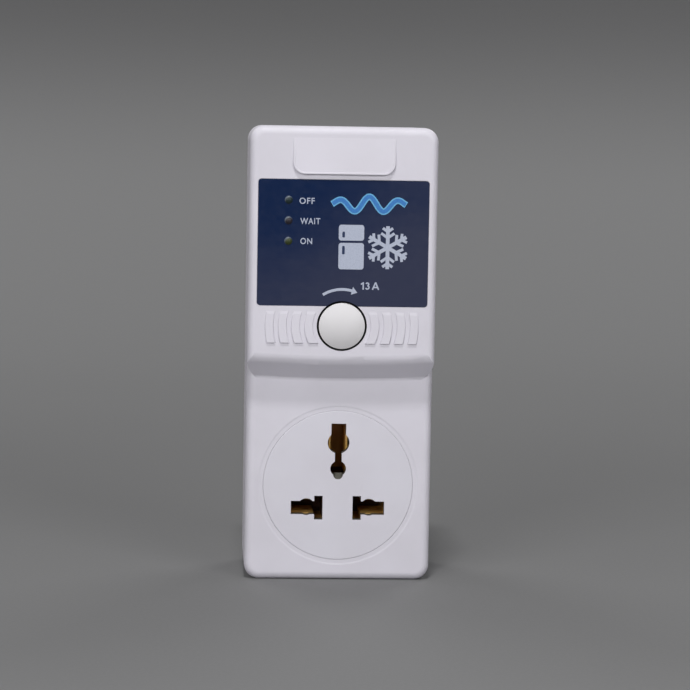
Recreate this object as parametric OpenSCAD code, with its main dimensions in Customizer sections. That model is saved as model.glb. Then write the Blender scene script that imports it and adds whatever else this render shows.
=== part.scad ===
// Plug-through voltage protector: a 13 A plug behind, a universal outlet in front,
// and between them a relay board that waits, watches and cuts the supply.
// X runs across the body, Z up from the base, and Y from the front towards the wall.
// Most pieces are drawn with the wall face at Y = 0, so what is inside the body has Y below zero.

/* [Body] */
// Width of the body
body_w = 58; // [57:0.5:64]
// Height of the body
body_h = 141.5; // [141:0.5:150]
// Depth of the lower half, from the wall face to its front
lower_d = 38; // [37:0.5:42]
// How far the upper face stands in front of the lower face
step_d = 6.5; // [5:0.5:8]
// Height at which the slanted step meets the lower face
step_z = 63.2; // [61:0.1:63.5]
// Height of the slanted step
step_h = 6; // [5.4:0.1:6.8]
// Radius along the step's upper edge
nose_r = 4; // [2:0.1:4.2]
// Radius in the crease at the step's foot
crease_r = 1.6; // [0.5:0.1:1.6]
// Rise of the step's lower edge from the middle to the sides
step_bow = 0.5; // [0.4:0.1:1.6]
// Radius at the ends of the step
step_corner_r = 7.6; // [4:0.1:8]
// Corner radius in the front view
corner_r = 4.6; // [4:0.1:5.4]
// Radius of the front edges
edge_r = 2.4; // [1.2:0.1:2.4]
// Radius of the rear edges
rear_edge_r = 1.6; // [1:0.1:2]
// Wall thickness of both covers
wall = 2.2; // [1.9:0.1:2.4]
// Depth of the rear cover
rear_d = 12; // [11.5:0.25:13]
// Width and depth of the fine groove along the seam
seam_groove = 0.35; // [0.2:0.05:0.6]
// Height of the rear cover's locating lip
lip_h = 2; // [1:0.1:2.5]
// Thickness of the locating lip
lip_t = 1; // [0.8:0.1:1.2]

/* [Badge and ribs] */
// Width of the raised badge tongue
badge_w = 31.3; // [28:0.1:36]
// Height of the badge tongue
badge_h = 11.1; // [9:0.1:12]
// Height of its lower edge above the label
badge_gap = 1.7; // [1:0.1:2.2]
// Relief of the badge at its lower edge
badge_t = 0.8; // [0.4:0.1:1.2]
// Radius of its lower corners
badge_r = 3.6; // [2:0.1:5]
// Width of the bead along its edge
bead_w = 0.5; // [0.3:0.1:1.2]
// Height of the bead above the tongue
bead_t = 0.15; // [0.05:0.05:0.4]
// Ribs on each side of the button
rib_count = 4; // [2:1:4]
// Outer radius of the innermost rib, about the button
rib_r = 11.5; // [10.8:0.1:12]
// Step from one rib to the next
rib_pitch = 4.05; // [3.6:0.05:4.4]
// Width of a rib
rib_w = 2.5; // [1.5:0.1:2.6]
// Relief of a rib at its lower end
rib_t = 0.45; // [0.3:0.05:1]
// How far the ribs reach below the button's centre
rib_below = 5.4; // [4:0.1:6.2]
// How far they reach above it
rib_above = 4.4; // [3:0.1:5]

/* [Label] */
// Width of the film label
label_w = 52.5; // [48:0.1:53]
// Height of the film label
label_h = 38.8; // [36:0.1:39]
// Height of its lower edge above the button's centre
label_rise = 6.1; // [5.5:0.1:7]
// Corner radius of the label
label_r = 1; // [0.5:0.1:3]
// Thickness of the film
film_t = 0.25; // [0.15:0.05:0.3]
// Depth of the recess that holds it
film_recess = 0.3; // [0.2:0.05:0.5]

/* [Indicators] */
// Distance of the indicator column from the middle
led_x = 16.9; // [14:0.1:18]
// Height of the lowest indicator above the label's lower edge
led_rise = 19.9; // [18:0.1:21]
// Spacing of the indicators
led_pitch = 6.3; // [5.6:0.1:6.6]
// Radius of an indicator's lens
led_r = 1.5; // [1.3:0.1:1.6]
// Length of an indicator's lens
led_len = 5.3; // [4.5:0.1:6]
// Height of the film domes over the indicators
dome_h = 0.6; // [0.5:0.05:0.65]

/* [Button] */
// Height of the button's centre above the base
button_z = 80.3; // [80:0.1:81]
// Radius of the button
button_r = 7.1; // [6.7:0.1:7.4]
// Gap between the button and its hole
button_gap = 0.6; // [0.3:0.05:0.6]
// How far the button's rim stands out of the face
button_rim = 0.2; // [0:0.1:0.6]
// Height of the button's dome
button_dome = 1.8; // [1:0.1:2.4]
// Travel of the button
button_travel = 1.5; // [0.8:0.1:1.6]
// Wire diameter of the return spring
spring_wire_d = 0.6; // [0.4:0.05:0.65]
// Turns of the return spring
spring_turns = 6; // [4:1:7]

/* [Outlet] */
// Height of the round insert's centre above the base
socket_z = 29.8; // [29.5:0.1:31]
// Radius of the round insert
insert_r = 23.4; // [22:0.1:23.6]
// Outer radius of the groove around the insert
groove_r = 25.1; // [24.6:0.1:25.6]
// Depth of that groove
groove_d = 0.1; // [0.05:0.05:0.5]
// How far the live and neutral line lies below the insert's centre
line_drop = 7.1; // [6.6:0.1:7.4]
// Outer end of the live and neutral openings, from the middle
slot_reach = 14.6; // [14.3:0.1:15]
// Height of the flat part of those openings
slot_h = 4.2; // [4.15:0.05:4.5]
// Place of their round part, from the middle
round_x = 9.8; // [9.5:0.1:10.1]
// Height of the round part's centre above the line
round_rise = 0.3; // [0:0.05:0.4]
// Radius of their round part
round_r = 2.65; // [2.3:0.05:2.8]
// Place of their upright part, from the middle
upright_x = 6; // [5.8:0.1:6.2]
// Width of their upright part
upright_w = 2.6; // [2:0.1:2.8]
// Height of their upright part
upright_h = 7.5; // [6.5:0.1:7.8]
// Top of the earth opening above the live and neutral line
earth_top = 26.5; // [26.3:0.1:26.9]
// Width of the earth opening
earth_w = 4.6; // [4.4:0.05:4.9]
// Height of its large round part above the line
earth_round = 20.5; // [20.2:0.1:20.8]
// Radius of its large round part
earth_round_r = 3.4; // [3.2:0.05:3.5]
// Height of its small round part above the line
earth_key = 12.35; // [12:0.05:12.7]
// Radius of its small round part
earth_key_r = 2.45; // [2:0.05:2.5]

/* [Plug] */
// Height of the live and neutral pins above the base
plug_z = 98; // [97.5:0.1:98.5]
// Centre distance of the live and neutral pins
pin_spacing = 22.23; // [22.1:0.01:22.4]
// Height of the earth pin above the other two
earth_rise = 22.23; // [22.1:0.01:22.4]
// Width of the live and neutral pins
pin_w = 6.35; // [6.2:0.01:6.5]
// Thickness of the live and neutral pins, and width of the earth pin
pin_t = 3.97; // [3.85:0.01:4.05]
// Length of the live and neutral pins
pin_len = 17.7; // [17:0.1:18.2]
// Height of the earth pin
earth_h = 7.92; // [7.8:0.01:8.05]
// Length of the earth pin
earth_len = 22.7; // [22:0.1:23.2]
// Length of the insulating sleeves
sleeve_len = 9.3; // [8:0.1:9.5]
// Taper at the pins' tips
tip_taper = 1; // [0.5:0.1:1.5]

/* [Fuse] */
// Height of the fuse above the live and neutral pins
fuse_rise = 10.6; // [10.3:0.1:10.7]
// Length of the fuse
fuse_len = 25.4; // [25:0.1:25.8]
// Diameter of the fuse's caps
fuse_d = 6.35; // [6.2:0.01:6.4]
// Length of a cap
cap_len = 6; // [5:0.1:6.2]
// Depth of the fuse's axis behind the wall face
fuse_deep = 8.6; // [8.4:0.1:8.8]

/* [Board] */
// Width of the board
pcb_w = 50.4; // [50:0.1:51]
// Height of the board
pcb_h = 62; // [61.5:0.1:62]
// Height of the board's lower edge above the base
pcb_z = 69.5; // [69.5:0.1:69.8]
// Thickness of the board
pcb_t = 1.6; // [1.2:0.1:1.8]
// Space between the front wall and the board
pcb_space = 9; // [8.9:0.1:9.4]
// Width of the relay
relay_w = 12.7; // [10:0.1:13]
// Height of the relay
relay_h = 29; // [26:0.1:29]
// Depth of the relay
relay_d = 15.7; // [12:0.1:16]
// Width of the dropper capacitor
dropper_w = 8.5; // [5:0.1:9]
// Height of the dropper capacitor
dropper_h = 18; // [13:0.5:20]
// Depth of the dropper capacitor
dropper_d = 14.5; // [9:0.5:15]
// Radius of the smoothing capacitor
smoothing_r = 5; // [4:0.1:5]
// Length of the smoothing capacitor
smoothing_len = 15; // [12:0.5:15.5]
// Radius of the varistor disc
varistor_r = 7; // [5:0.1:7]
// Diameter of the power wires
wire_d = 2.5; // [2:0.1:2.6]
// Diameter of the thin tap wire
tap_d = 1.6; // [1.2:0.1:1.8]

/* [Hidden] */
$fn = 64;

// Overrun of every cut past the surface it starts from
over = 0.5;
// Slack around a piece that drops into a seat
seat_gap = 0.1;
// Slack around the rear cover's lip
lip_gap = 0.1;
// Slack around a piece that slides
slide_gap = 0.2;
// Radial play of the insert, of a screw in its pilot hole and of a pin in its bore
play = 0.05;

// Depth of the upper half and its front face
upper_d = lower_d + step_d;
upper_y = -upper_d;
lower_y = -lower_d;
seam_y = -rear_d;
inner_w = body_w - 2 * wall;
inner_h = body_h - 2 * wall;
inner_r = max(corner_r - wall, wall / 2);
upper_inner_y = upper_y + wall;
lower_inner_y = lower_y + wall;
rear_inner_y = -wall;
// Farthest point in front, and the wall face's place in the part's own frame
front_reach = upper_d + max(button_rim + button_dome, badge_t + bead_t, rib_t);
wall_y = (front_reach - earth_len) / 2;

// The step seen from the side: its slope, and the circles that round its upper edge and its crease
slope_l = norm([step_d, step_h]);
slope_dir = [-step_d, step_h] / slope_l;
slope_in = [step_h, step_d] / slope_l;
slope_foot = [lower_y, step_z];
nose_run = slope_l - nose_r * (slope_l - step_h) / step_d;
nose_touch = slope_foot + nose_run * slope_dir;
nose_centre = nose_touch + nose_r * slope_in;
crease_run = crease_r * (slope_l - step_h) / step_d;
crease_low = slope_foot - [0, crease_run];
crease_high = slope_foot + crease_run * slope_dir;
inner_foot = slope_foot + wall * slope_in;
inner_low_z = inner_foot[1] + (inner_foot[0] - lower_inner_y) * step_h / step_d;
inner_high_z = inner_foot[1] + (inner_foot[0] - upper_inner_y) * step_h / step_d;
bow_half = body_w / 2 - step_corner_r;
bow_r = (bow_half * bow_half + step_bow * step_bow) / (2 * step_bow);
bow_z = step_z + bow_r;

// Places on the front
rib_top_share = 0.35;
film_dome_share = 0.85;
label_z = button_z + label_rise;
badge_z = label_z + label_h + badge_gap;
led_z = [for (i = [0 : 2]) label_z + led_rise + i * led_pitch];
line_z = socket_z - line_drop;
film_y = upper_y + film_recess - film_t;
film_dome_r = film_dome_share * led_r;
button_hole_r = button_r + button_gap;
label_notch_r = button_hole_r;

// Screws: shank radius, head radius, head height
case_screw = [1.4, 2.7, 2];
small_screw = [1.1, 2.1, 1.5];
case_boss_r = 3.2;
case_post_r = 3.6;
small_boss_r = 2.6;
case_head_deep = 5;
case_screw_len = 15;
small_screw_len = 7;
bridge_screw_len = 4.6;
case_screw_inset = 5.9;
case_screw_x = body_w / 2 - wall - small_boss_r;
case_screw_places = [
    for (s = [-1, 1], z = [case_screw_inset, body_h - case_screw_inset]) [s * case_screw_x, z]
];

// Round insert and contact carrier
groove_taper = 0.5;
insert_bevel = 0.15;
flange_w = 3.3;
flange_t = 1.4;
insert_flange_r = insert_r + flange_w;
flange_y = lower_inner_y;
carrier_front_y = flange_y + flange_t;
carrier_inset = 1;
carrier_rear_y = seam_y - carrier_inset;
carrier_wall = 1.5;
carrier_half_w = 19.5;
contact_t = 0.6;
contact_gap = slot_h / 2 + play;
web_x = slot_reach + slide_gap;
upright_in_x = upright_x - upright_w / 2 - slide_gap;
upright_out_x = upright_x + upright_w / 2;
upright_gap = upright_h / 2 + slide_gap;
cell_out_x = web_x + contact_t + slide_gap;
cell_in_x = upright_in_x - slide_gap;
cell_half_h = upright_gap + contact_t + slide_gap;
earth_leaf_x = earth_w / 2 + play;
earth_cell_x = earth_round_r + seat_gap;
earth_tip_r = 1.5;
earth_tip_drop = 1.9;
earth_neck_w = 2.15;
tip_land = 0.3;
tip_slope_share = 0.9;
earth_low = earth_key - earth_tip_drop - earth_tip_r;
earth_leaf_low = earth_key - earth_key_r;
contact_front_y = carrier_front_y + slide_gap;
contact_len = 16;
tail_y = -7;
tail_half_h = 2.4;
cell_rear_y = carrier_rear_y - carrier_wall;
carrier_low_z = line_z - cell_half_h - carrier_wall * 2;
carrier_high_z = line_z + earth_top + contact_t + carrier_wall * 2;
ear_t = 2.5;
ear_deep = 7.8;
ear_y = lower_inner_y + ear_deep;
carrier_screw_x = carrier_half_w + small_boss_r + slide_gap;
carrier_screw_z = carrier_high_z - small_boss_r / 2;
carrier_screw_places = [for (s = [-1, 1]) [s * carrier_screw_x, carrier_screw_z]];
carrier_post_r = 2;
carrier_post_x = 10;
carrier_post_z = carrier_low_z + carrier_post_r;

// Pins and the bridge that clamps them
pin_x = pin_spacing / 2;
earth_pin_z = plug_z + earth_rise;
fuse_z = plug_z + fuse_rise;
fuse_y = -fuse_deep;
core_shrink = 1.15;
head_rim = 1.2;
head_t = 2;
pin_tail_y = -10;
earth_tail_w = 3;
earth_tail_h = 5;
bridge_t = 4;
bridge_y = rear_inner_y - bridge_t;
bridge_half_w = 19;
bridge_below = 6.5;
bridge_low_z = plug_z - bridge_below;
bridge_high_z = earth_pin_z + earth_h / 2 + head_rim + small_screw[1];
bridge_screw_x = 15.5;
bridge_screw_places = [
    [-bridge_screw_x, bridge_high_z - small_boss_r - play],
    [bridge_screw_x, bridge_high_z - small_boss_r - play],
    [0, plug_z - small_boss_r - play]
];
bridge_post_r = 2.3;
bridge_post_h = 2.4;

// Fuse, its clips and its drawer
fuse_r = fuse_d / 2;
tube_step = 0.3;
tube_r = fuse_r - tube_step;
clip_t = 0.6;
clip_w = 4.6;
clip_x = (fuse_len - cap_len) / 2;
clip_jaw_z = fuse_r + seat_gap;
clip_base_y = fuse_y - fuse_r - seat_gap;
cradle_floor_y = clip_base_y - clip_t;
cradle_rear_y = cradle_floor_y - carrier_wall;
cradle_half_x = fuse_len / 2 + head_rim * 2;
cradle_half_h = clip_jaw_z + clip_t + 2 * slide_gap;
cradle_wall = 1.4;
tab_w = 3;
tab_t = 0.8;
tab_len = 2.4;
tab_y = cradle_rear_y - tab_len;
jaw_reach_share = 0.6;
jaw_open_y = fuse_y + fuse_r * jaw_reach_share;
drawer_half_x = cradle_half_x + slide_gap;
drawer_half_h = cradle_half_h + slide_gap;
drawer_grip_x = 5.5;
drawer_grip_wrap = 1;
drawer_grip_half_h = cradle_half_h - slide_gap;
drawer_notch = 1;
drawer_stop_y = rear_inner_y;

// Board, its screws and what stands on it
pcb_front_y = upper_inner_y + pcb_space;
pcb_rear_y = pcb_front_y + pcb_t;
pcb_screw_x = 22;
pcb_screw_inset = 3.6;
pcb_screw_places = [
    for (s = [-1, 1], z = [pcb_z + pcb_screw_inset, pcb_z + pcb_h - pcb_screw_inset]) [s * pcb_screw_x, z]
];
lead_r = 0.4;
lead_out = 1.2;
stand_off = 0.3;
relay_x = -12;
relay_top_gap = 5.3;
relay_z = fuse_z - tap_d / 2 - relay_top_gap - relay_h / 2;
relay_lead_shares = [[-0.3, -0.42], [0.3, -0.42], [0, 0.1], [0, 0.27], [0, 0.42]];
dropper_x = 13.5;
dropper_rise = 5.5;
dropper_z = pcb_z + dropper_rise + dropper_h / 2;
dropper_lead_share = 0.42;
smoothing_x = 2;
smoothing_rise = 26;
smoothing_z = pcb_z + smoothing_rise;
smoothing_lead_x = 2.5;
varistor_x = 2;
varistor_rise = 51.5;
varistor_z = pcb_z + varistor_rise;
varistor_t = 4.5;
varistor_lift = 1.5;
varistor_lead_x = 3.75;
rectifier_size = [8.4, 6.4, 3.2];
rectifier_x = 15;
rectifier_rise = 35.5;
rectifier_z = pcb_z + rectifier_rise;
rectifier_lead_share = 0.32;
chip_size = [9.6, 6.4, 3.3];
chip_x = 9;
chip_rise = 43.5;
chip_z = pcb_z + chip_rise;
chip_legs = 4;
chip_leg_pitch = 2.3;
chip_leg_w = 0.5;
chip_leg_out = 0.6;
resistor_r = 1.2;
resistor_l = 6.4;
resistor_pitch = 3.6;
resistor_x = -6;
resistor_rise = 24.5;
resistor_z = pcb_z + resistor_rise;
resistor_count = 4;

// Button, switch and spring
button_flange_w = 1.3;
button_flange_t = 1;
sleeve_t = 1.6;
sleeve_reach = 2.5;
sleeve_y = upper_inner_y + sleeve_reach;
cap_wall = 1.5;
rim_y = upper_y - button_rim;
dome_r = (button_r * button_r + button_dome * button_dome) / (2 * button_dome);
cap_roof_t = 2.1;
cap_roof_y = upper_y + cap_roof_t;
stem_r = 1.9;
switch_h = 3.2;
switch_half_w = 3;
switch_y = pcb_front_y - switch_h;
plunger_r = 1.5;
plunger_clear = slide_gap;
stem_y = switch_y - button_travel - plunger_clear;
plunger_floor_t = 0.3;
plunger_floor_y = pcb_front_y - plunger_floor_t;
plunger_in_y = plunger_floor_y - button_travel - seat_gap;
spring_r = button_r - cap_wall - seat_gap - spring_wire_d / 2 - play;
spring_seat_gap = 0.15;
spring_rings = 8;
spring_sides = 6;

// Indicators
led_rim = 0.4;
led_flange_r = led_r + led_rim;
led_flange_t = 1;
led_tip_gap = 0.2;
// Part of the lens that pokes into the film's dome, clear of the flat film around it
led_nose = led_r - sqrt(pow(led_r, 2) - pow(film_dome_r - film_t, 2));
led_tip_y = film_y + film_t - min(dome_h, led_nose) + led_tip_gap;
led_base_y = led_tip_y + led_len;
led_hole_r = led_r + slide_gap;
led_lead_x = 1.27;
led_lead_half = 0.25;
holder_half_w = 2.6;

// Wires
wire_wall_gap = 1.65;
wire_x = body_w / 2 - wall - wire_d / 2 - wire_wall_gap;
wire_gap = 0.8;
earth_wire_x = wire_x - wire_d - wire_gap;
wire_y = -8.5;
wire_bend = 3;
load_pad_rise = 9;
load_pad_z = pcb_z + load_pad_rise;
tap_x = -21.5;
tap_bend = 1.6;
tap_drop = 3.5;
tap_y = pin_tail_y - tap_drop;

plastic_white = [0.88, 0.88, 0.90];
insert_white = [0.86, 0.86, 0.88];
navy = [0.10, 0.12, 0.28];
brass = [0.80, 0.62, 0.28];
steel = [0.65, 0.66, 0.68];
black_plastic = [0.09, 0.09, 0.10];
board_green = [0.10, 0.35, 0.18];
relay_blue = [0.12, 0.22, 0.55];
box_yellow = [0.85, 0.70, 0.20];
ceramic_white = [0.93, 0.92, 0.88];
varistor_blue = [0.10, 0.30, 0.62];
resistor_tan = [0.80, 0.68, 0.48];
live_brown = [0.40, 0.22, 0.12];
neutral_blue = [0.15, 0.35, 0.75];
earth_green = [0.20, 0.55, 0.20];

// Moves a piece drawn from the wall face into the part's own frame
module placed() {
    translate([0, wall_y, 0]) children();
}

// Flat outline in X and Z, extruded from y0 back to y1
module slice(y0, y1) {
    translate([0, y1, 0]) rotate([90, 0, 0]) linear_extrude(y1 - y0) children();
}

// Side outline in Y and Z, extruded across the middle to a width
module across(w) {
    translate([-w / 2, 0, 0]) rotate([90, 0, 90]) linear_extrude(w) children();
}

// Round bar along Y
module rod(x, z, y0, y1, r) {
    translate([x, y0, z]) rotate([-90, 0, 0]) cylinder(h = y1 - y0, r = r);
}

// Box between two limits on each axis
module block(x, y, z) {
    translate([x[0], y[0], z[0]]) cube([x[1] - x[0], y[1] - y[0], z[1] - z[0]]);
}

// Rectangle from the base line up, centred in X, with round corners
module round_rect(w, h, r) {
    translate([-w / 2 + r, 0]) square([w - 2 * r, h]);
    translate([-w / 2, r]) square([w, h - 2 * r]);
    for (x = [-1, 1], z = [r, h - r]) translate([x * (w / 2 - r), z]) circle(r = r);
}

// Section of a slab with its two front corners rounded: x across, y back from the front
module soft_section(w, d, e) {
    translate([-w / 2, e]) square([w, d - e]);
    translate([-w / 2 + e, 0]) square([w - 2 * e, d]);
    for (s = [-1, 1]) translate([s * (w / 2 - e), e]) circle(r = e);
}

// Slab seen from the front as a round-cornered rectangle, with soft front edges
module soft_slab(w, h, d, r, e) {
    translate([0, 0, r]) linear_extrude(h - 2 * r) soft_section(w, d, e);
    across(w - 2 * r) translate([0, h / 2]) rotate(-90) soft_section(h, d, e);
    for (x = [-1, 1], z = [r, h - r]) {
        translate([x * (w / 2 - r), 0, z]) rotate([-90, 0, 0]) rotate_extrude() soft_corner(d, r, e);
    }
}

// Half section of a slab's round corner
module soft_corner(d, r, e) {
    square([r - e, d]);
    translate([0, e]) square([r, d - e]);
    intersection() {
        translate([r - e, e]) circle(r = e);
        square([r, 2 * e]);
    }
}

// Screw along Y: its head faces the wall, and its shank runs forward from the seat
module screw(x, z, seat_y, shank_l, sizes) {
    difference() {
        union() {
            rod(x, z, seat_y - shank_l, seat_y + over * sizes[0], sizes[0]);
            rod(x, z, seat_y, seat_y + sizes[2], sizes[1]);
        }
        for (a = [0, 90]) {
            translate([x, seat_y + sizes[2], z]) rotate([0, a, 0])
                cube([sizes[0] * 2, sizes[2], sizes[0] / 2], center = true);
        }
    }
}

// Screw whose head faces the wall, mirrored so that it is driven from inside
module inside_screw(x, z, seat_y, shank_l, sizes) {
    translate([0, seat_y, 0]) mirror([0, 1, 0]) screw(x, z, 0, shank_l, sizes);
}

// Side outline of the upper half, with the slanted step, its round upper edge and its round crease
module upper_side() {
    polygon([
        [seam_y, crease_low[1]], crease_low, slope_foot, nose_touch, nose_centre, [upper_y, nose_centre[1]],
        [upper_y, body_h + over], [seam_y, body_h + over]
    ]);
    translate(nose_centre) circle(r = nose_r);
}

// A side outline swept along the bow of the step's lower edge
module bow_sweep() {
    translate([0, 0, bow_z]) rotate([90, 0, 0]) rotate_extrude($fn = 320)
        translate([bow_z, 0]) mirror([1, 0]) rotate(-90) children();
}

module bowed_upper() {
    bow_sweep() upper_side();
    difference() {
        bow_sweep() polygon([crease_low, slope_foot, crease_high]);
        bow_sweep() translate(crease_low - [crease_r, 0]) circle(r = crease_r);
    }
}

module front_shell() {
    translate([0, lower_y, 0]) soft_slab(body_w, body_h, lower_d - rear_d, corner_r, edge_r);
    intersection() {
        translate([0, upper_y, 0]) soft_slab(body_w, body_h, upper_d - rear_d, corner_r, edge_r);
        bowed_upper();
        slice(upper_y - over, seam_y + over) translate([0, crease_low[1] - step_bow])
            round_rect(body_w, body_h, step_corner_r);
    }
}

module front_cavity() {
    slice(lower_inner_y, seam_y + over) translate([0, wall]) round_rect(inner_w, inner_h, inner_r);
    intersection() {
        across(inner_w) polygon([
            [seam_y + over, inner_low_z], [lower_inner_y, inner_low_z], [upper_inner_y, inner_high_z],
            [upper_inner_y, body_h - wall], [seam_y + over, body_h - wall]
        ]);
        slice(upper_inner_y, seam_y + over) translate([0, wall]) round_rect(inner_w, inner_h, inner_r);
    }
}

// Bosses, from inside the front wall to where they carry a piece
module front_bosses() {
    for (p = case_screw_places) {
        rod(p[0], p[1], (p[1] > step_z ? upper_inner_y : lower_inner_y) - wall / 2, seam_y, case_boss_r);
    }
    for (p = pcb_screw_places) rod(p[0], p[1], upper_inner_y - wall / 2, pcb_front_y, small_boss_r);
    for (p = carrier_screw_places) rod(p[0], p[1], lower_inner_y - wall / 2, ear_y, small_boss_r);
    rod(0, button_z, upper_inner_y - wall / 2, sleeve_y, button_hole_r + sleeve_t);
}

// Side outline of the badge's wedge, raised by a further relief
module badge_side(relief) {
    polygon([
        [upper_y + wall / 2, badge_z - over], [upper_y - badge_t - relief, badge_z - over],
        [upper_y - badge_t - relief, badge_z], [upper_y, badge_z + badge_h],
        [upper_y + wall / 2, badge_z + badge_h]
    ]);
}

// Raised tongue with a bead along its edge, both dying into the face at the top
module badge_tongue() {
    intersection() {
        slice(upper_y - badge_t * 2, upper_y + wall / 2) translate([0, badge_z])
            round_rect(badge_w, badge_h + badge_r * 2, badge_r);
        across(badge_w + over) badge_side(0);
    }
    intersection() {
        slice(upper_y - badge_t * 2, upper_y + wall / 2) difference() {
            translate([0, badge_z]) round_rect(badge_w, badge_h + badge_r * 2, badge_r);
            translate([0, badge_z + bead_w])
                round_rect(badge_w - 2 * bead_w, badge_h + badge_r * 2, badge_r - bead_w);
        }
        across(badge_w + over) badge_side(bead_t);
    }
}

// Rings about the button, kept only where a rib lies
module ribs() {
    intersection() {
        slice(upper_y - rib_t * 2, upper_y + wall / 2) translate([0, button_z]) {
            for (i = [0 : rib_count - 1]) {
                difference() {
                    circle(r = rib_r + i * rib_pitch);
                    circle(r = rib_r + i * rib_pitch - rib_w);
                }
            }
        }
        across(body_w - 2 * edge_r) polygon([
            [upper_y + wall / 2, button_z - rib_below], [upper_y - rib_t, button_z - rib_below],
            [upper_y - rib_t * rib_top_share, button_z + rib_above - rib_t * 2],
            [upper_y, button_z + rib_above], [upper_y + wall / 2, button_z + rib_above]
        ]);
    }
}

module front_cover() {
    color(plastic_white) placed() difference() {
        union() {
            difference() {
                front_shell();
                front_cavity();
            }
            intersection() {
                front_bosses();
                front_shell();
            }
            badge_tongue();
            ribs();
        }
        // Label recess, indicator holes and button hole
        slice(upper_y - over, upper_y + film_recess) label_outline(seat_gap);
        for (z = led_z) rod(-led_x, z, upper_y - over, upper_inner_y + over, led_hole_r);
        rod(0, button_z, upper_y - over, sleeve_y + over, button_hole_r);
        // Aperture of the round insert and the groove around it
        rod(0, socket_z, lower_y - over, lower_inner_y + over, insert_r + play);
        translate([0, lower_y, socket_z]) rotate([-90, 0, 0])
            cylinder(h = groove_d, r1 = groove_r, r2 = groove_r - groove_taper);
        rod(0, socket_z, lower_y - over, lower_y, groove_r);
        // Pilot holes of the screws
        for (p = case_screw_places) {
            rod(p[0], p[1], -case_head_deep - case_screw_len - over, seam_y + over, case_screw[0] + play);
        }
        for (p = pcb_screw_places) {
            rod(p[0], p[1], pcb_rear_y - small_screw_len - over, pcb_front_y + over, small_screw[0] + play);
        }
        for (p = carrier_screw_places) {
            rod(p[0], p[1], ear_y + ear_t - small_screw_len - over, ear_y + over, small_screw[0] + play);
        }
    }
}

// Outline of the label, grown by a margin, with the notch for the button
module label_outline(margin) {
    difference() {
        translate([0, label_z - margin])
            round_rect(label_w + 2 * margin, label_h + 2 * margin, label_r + margin);
        translate([0, button_z]) circle(r = label_notch_r - margin);
    }
}

// Film cap over an indicator, between its outer and inner spheres
module film_cap(z) {
    out_r = (film_dome_r * film_dome_r + dome_h * dome_h) / (2 * dome_h);
    intersection() {
        translate([-led_x, film_y - dome_h + out_r, z]) difference() {
            sphere(r = out_r);
            sphere(r = out_r - film_t);
        }
        rod(-led_x, z, film_y - dome_h - over, film_y + film_t / 2, film_dome_r);
    }
}

module fascia_label() {
    color(navy) placed() {
        difference() {
            slice(film_y, film_y + film_t) label_outline(0);
            for (z = led_z) rod(-led_x, z, film_y - over, film_y + film_t + over, film_dome_r - film_t);
        }
        for (z = led_z) film_cap(z);
    }
}

module rear_shell() {
    mirror([0, 1, 0]) soft_slab(body_w, body_h, rear_d, corner_r, rear_edge_r);
}

module rear_lip() {
    lip_w = inner_w - 2 * lip_gap;
    slice(seam_y - lip_h, -rear_d / 2) difference() {
        translate([0, wall + lip_gap]) round_rect(lip_w, inner_h - 2 * lip_gap, inner_r - lip_gap);
        translate([0, wall + lip_gap + lip_t])
            round_rect(lip_w - 2 * lip_t, inner_h - 2 * lip_gap - 2 * lip_t, inner_r - lip_gap);
    }
}

// Plan of the fuse drawer's window, grown by a margin
module drawer_outline(margin) {
    translate([0, fuse_z - drawer_half_h - margin])
        round_rect(2 * (drawer_half_x + margin), 2 * (drawer_half_h + margin), head_rim);
}

module rear_cover() {
    color(plastic_white) placed() difference() {
        union() {
            difference() {
                rear_shell();
                slice(seam_y - over, rear_inner_y) translate([0, wall]) round_rect(inner_w, inner_h, inner_r);
                slice(seam_y - over, seam_y + seam_groove) difference() {
                    translate([0, -over]) round_rect(body_w + 2 * over, body_h + 2 * over, corner_r);
                    translate([0, seam_groove]) round_rect(
                        body_w - 2 * seam_groove, body_h - 2 * seam_groove, corner_r - seam_groove);
                }
            }
            // The lip stands on the wall's inner side, clear of the front cover's bosses
            difference() {
                union() {
                    rear_lip();
                    slice(-rear_d / 2 - lip_t, -rear_d / 2) difference() {
                        translate([0, wall / 2])
                            round_rect(body_w - wall, body_h - wall, corner_r - wall / 2);
                        translate([0, wall + lip_gap + lip_t]) round_rect(
                            inner_w - 2 * lip_gap - 2 * lip_t, inner_h - 2 * lip_gap - 2 * lip_t,
                            inner_r - lip_gap);
                    }
                }
                for (p = case_screw_places) {
                    rod(p[0], p[1], seam_y - lip_h - over, seam_y, case_boss_r + lip_gap);
                }
            }
            for (p = case_screw_places) {
                intersection() {
                    rod(p[0], p[1], seam_y, rear_inner_y + wall / 2, case_post_r);
                    rear_shell();
                }
            }
            for (p = bridge_screw_places) {
                rod(p[0], p[1], rear_inner_y - bridge_post_h, rear_inner_y + wall / 2, bridge_post_r);
            }
            for (s = [-1, 1]) {
                rod(s * carrier_post_x, carrier_post_z, carrier_rear_y, rear_inner_y + wall / 2,
                    carrier_post_r);
            }
        }
        for (p = case_screw_places) {
            rod(p[0], p[1], seam_y - over, over, case_screw[0] + slide_gap);
            rod(p[0], p[1], -case_head_deep, over, case_screw[1] + slide_gap);
        }
        for (p = bridge_screw_places) {
            rod(p[0], p[1], rear_inner_y - bridge_post_h - over,
                rear_inner_y - bridge_t + bridge_screw_len + play, small_screw[0] + play);
        }
        for (s = [-1, 1]) {
            block([s * pin_x - pin_w / 2 - play, s * pin_x + pin_w / 2 + play], [rear_inner_y - over, over],
                [plug_z - pin_t / 2 - play, plug_z + pin_t / 2 + play]);
        }
        block([-pin_t / 2 - play, pin_t / 2 + play], [rear_inner_y - over, over],
            [earth_pin_z - earth_h / 2 - play, earth_pin_z + earth_h / 2 + play]);
        slice(rear_inner_y - over, over) drawer_outline(slide_gap);
    }
}

module case_screws() {
    color(steel) placed() for (p = case_screw_places) {
        screw(p[0], p[1], -case_head_deep, case_screw_len, case_screw);
    }
}

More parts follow.
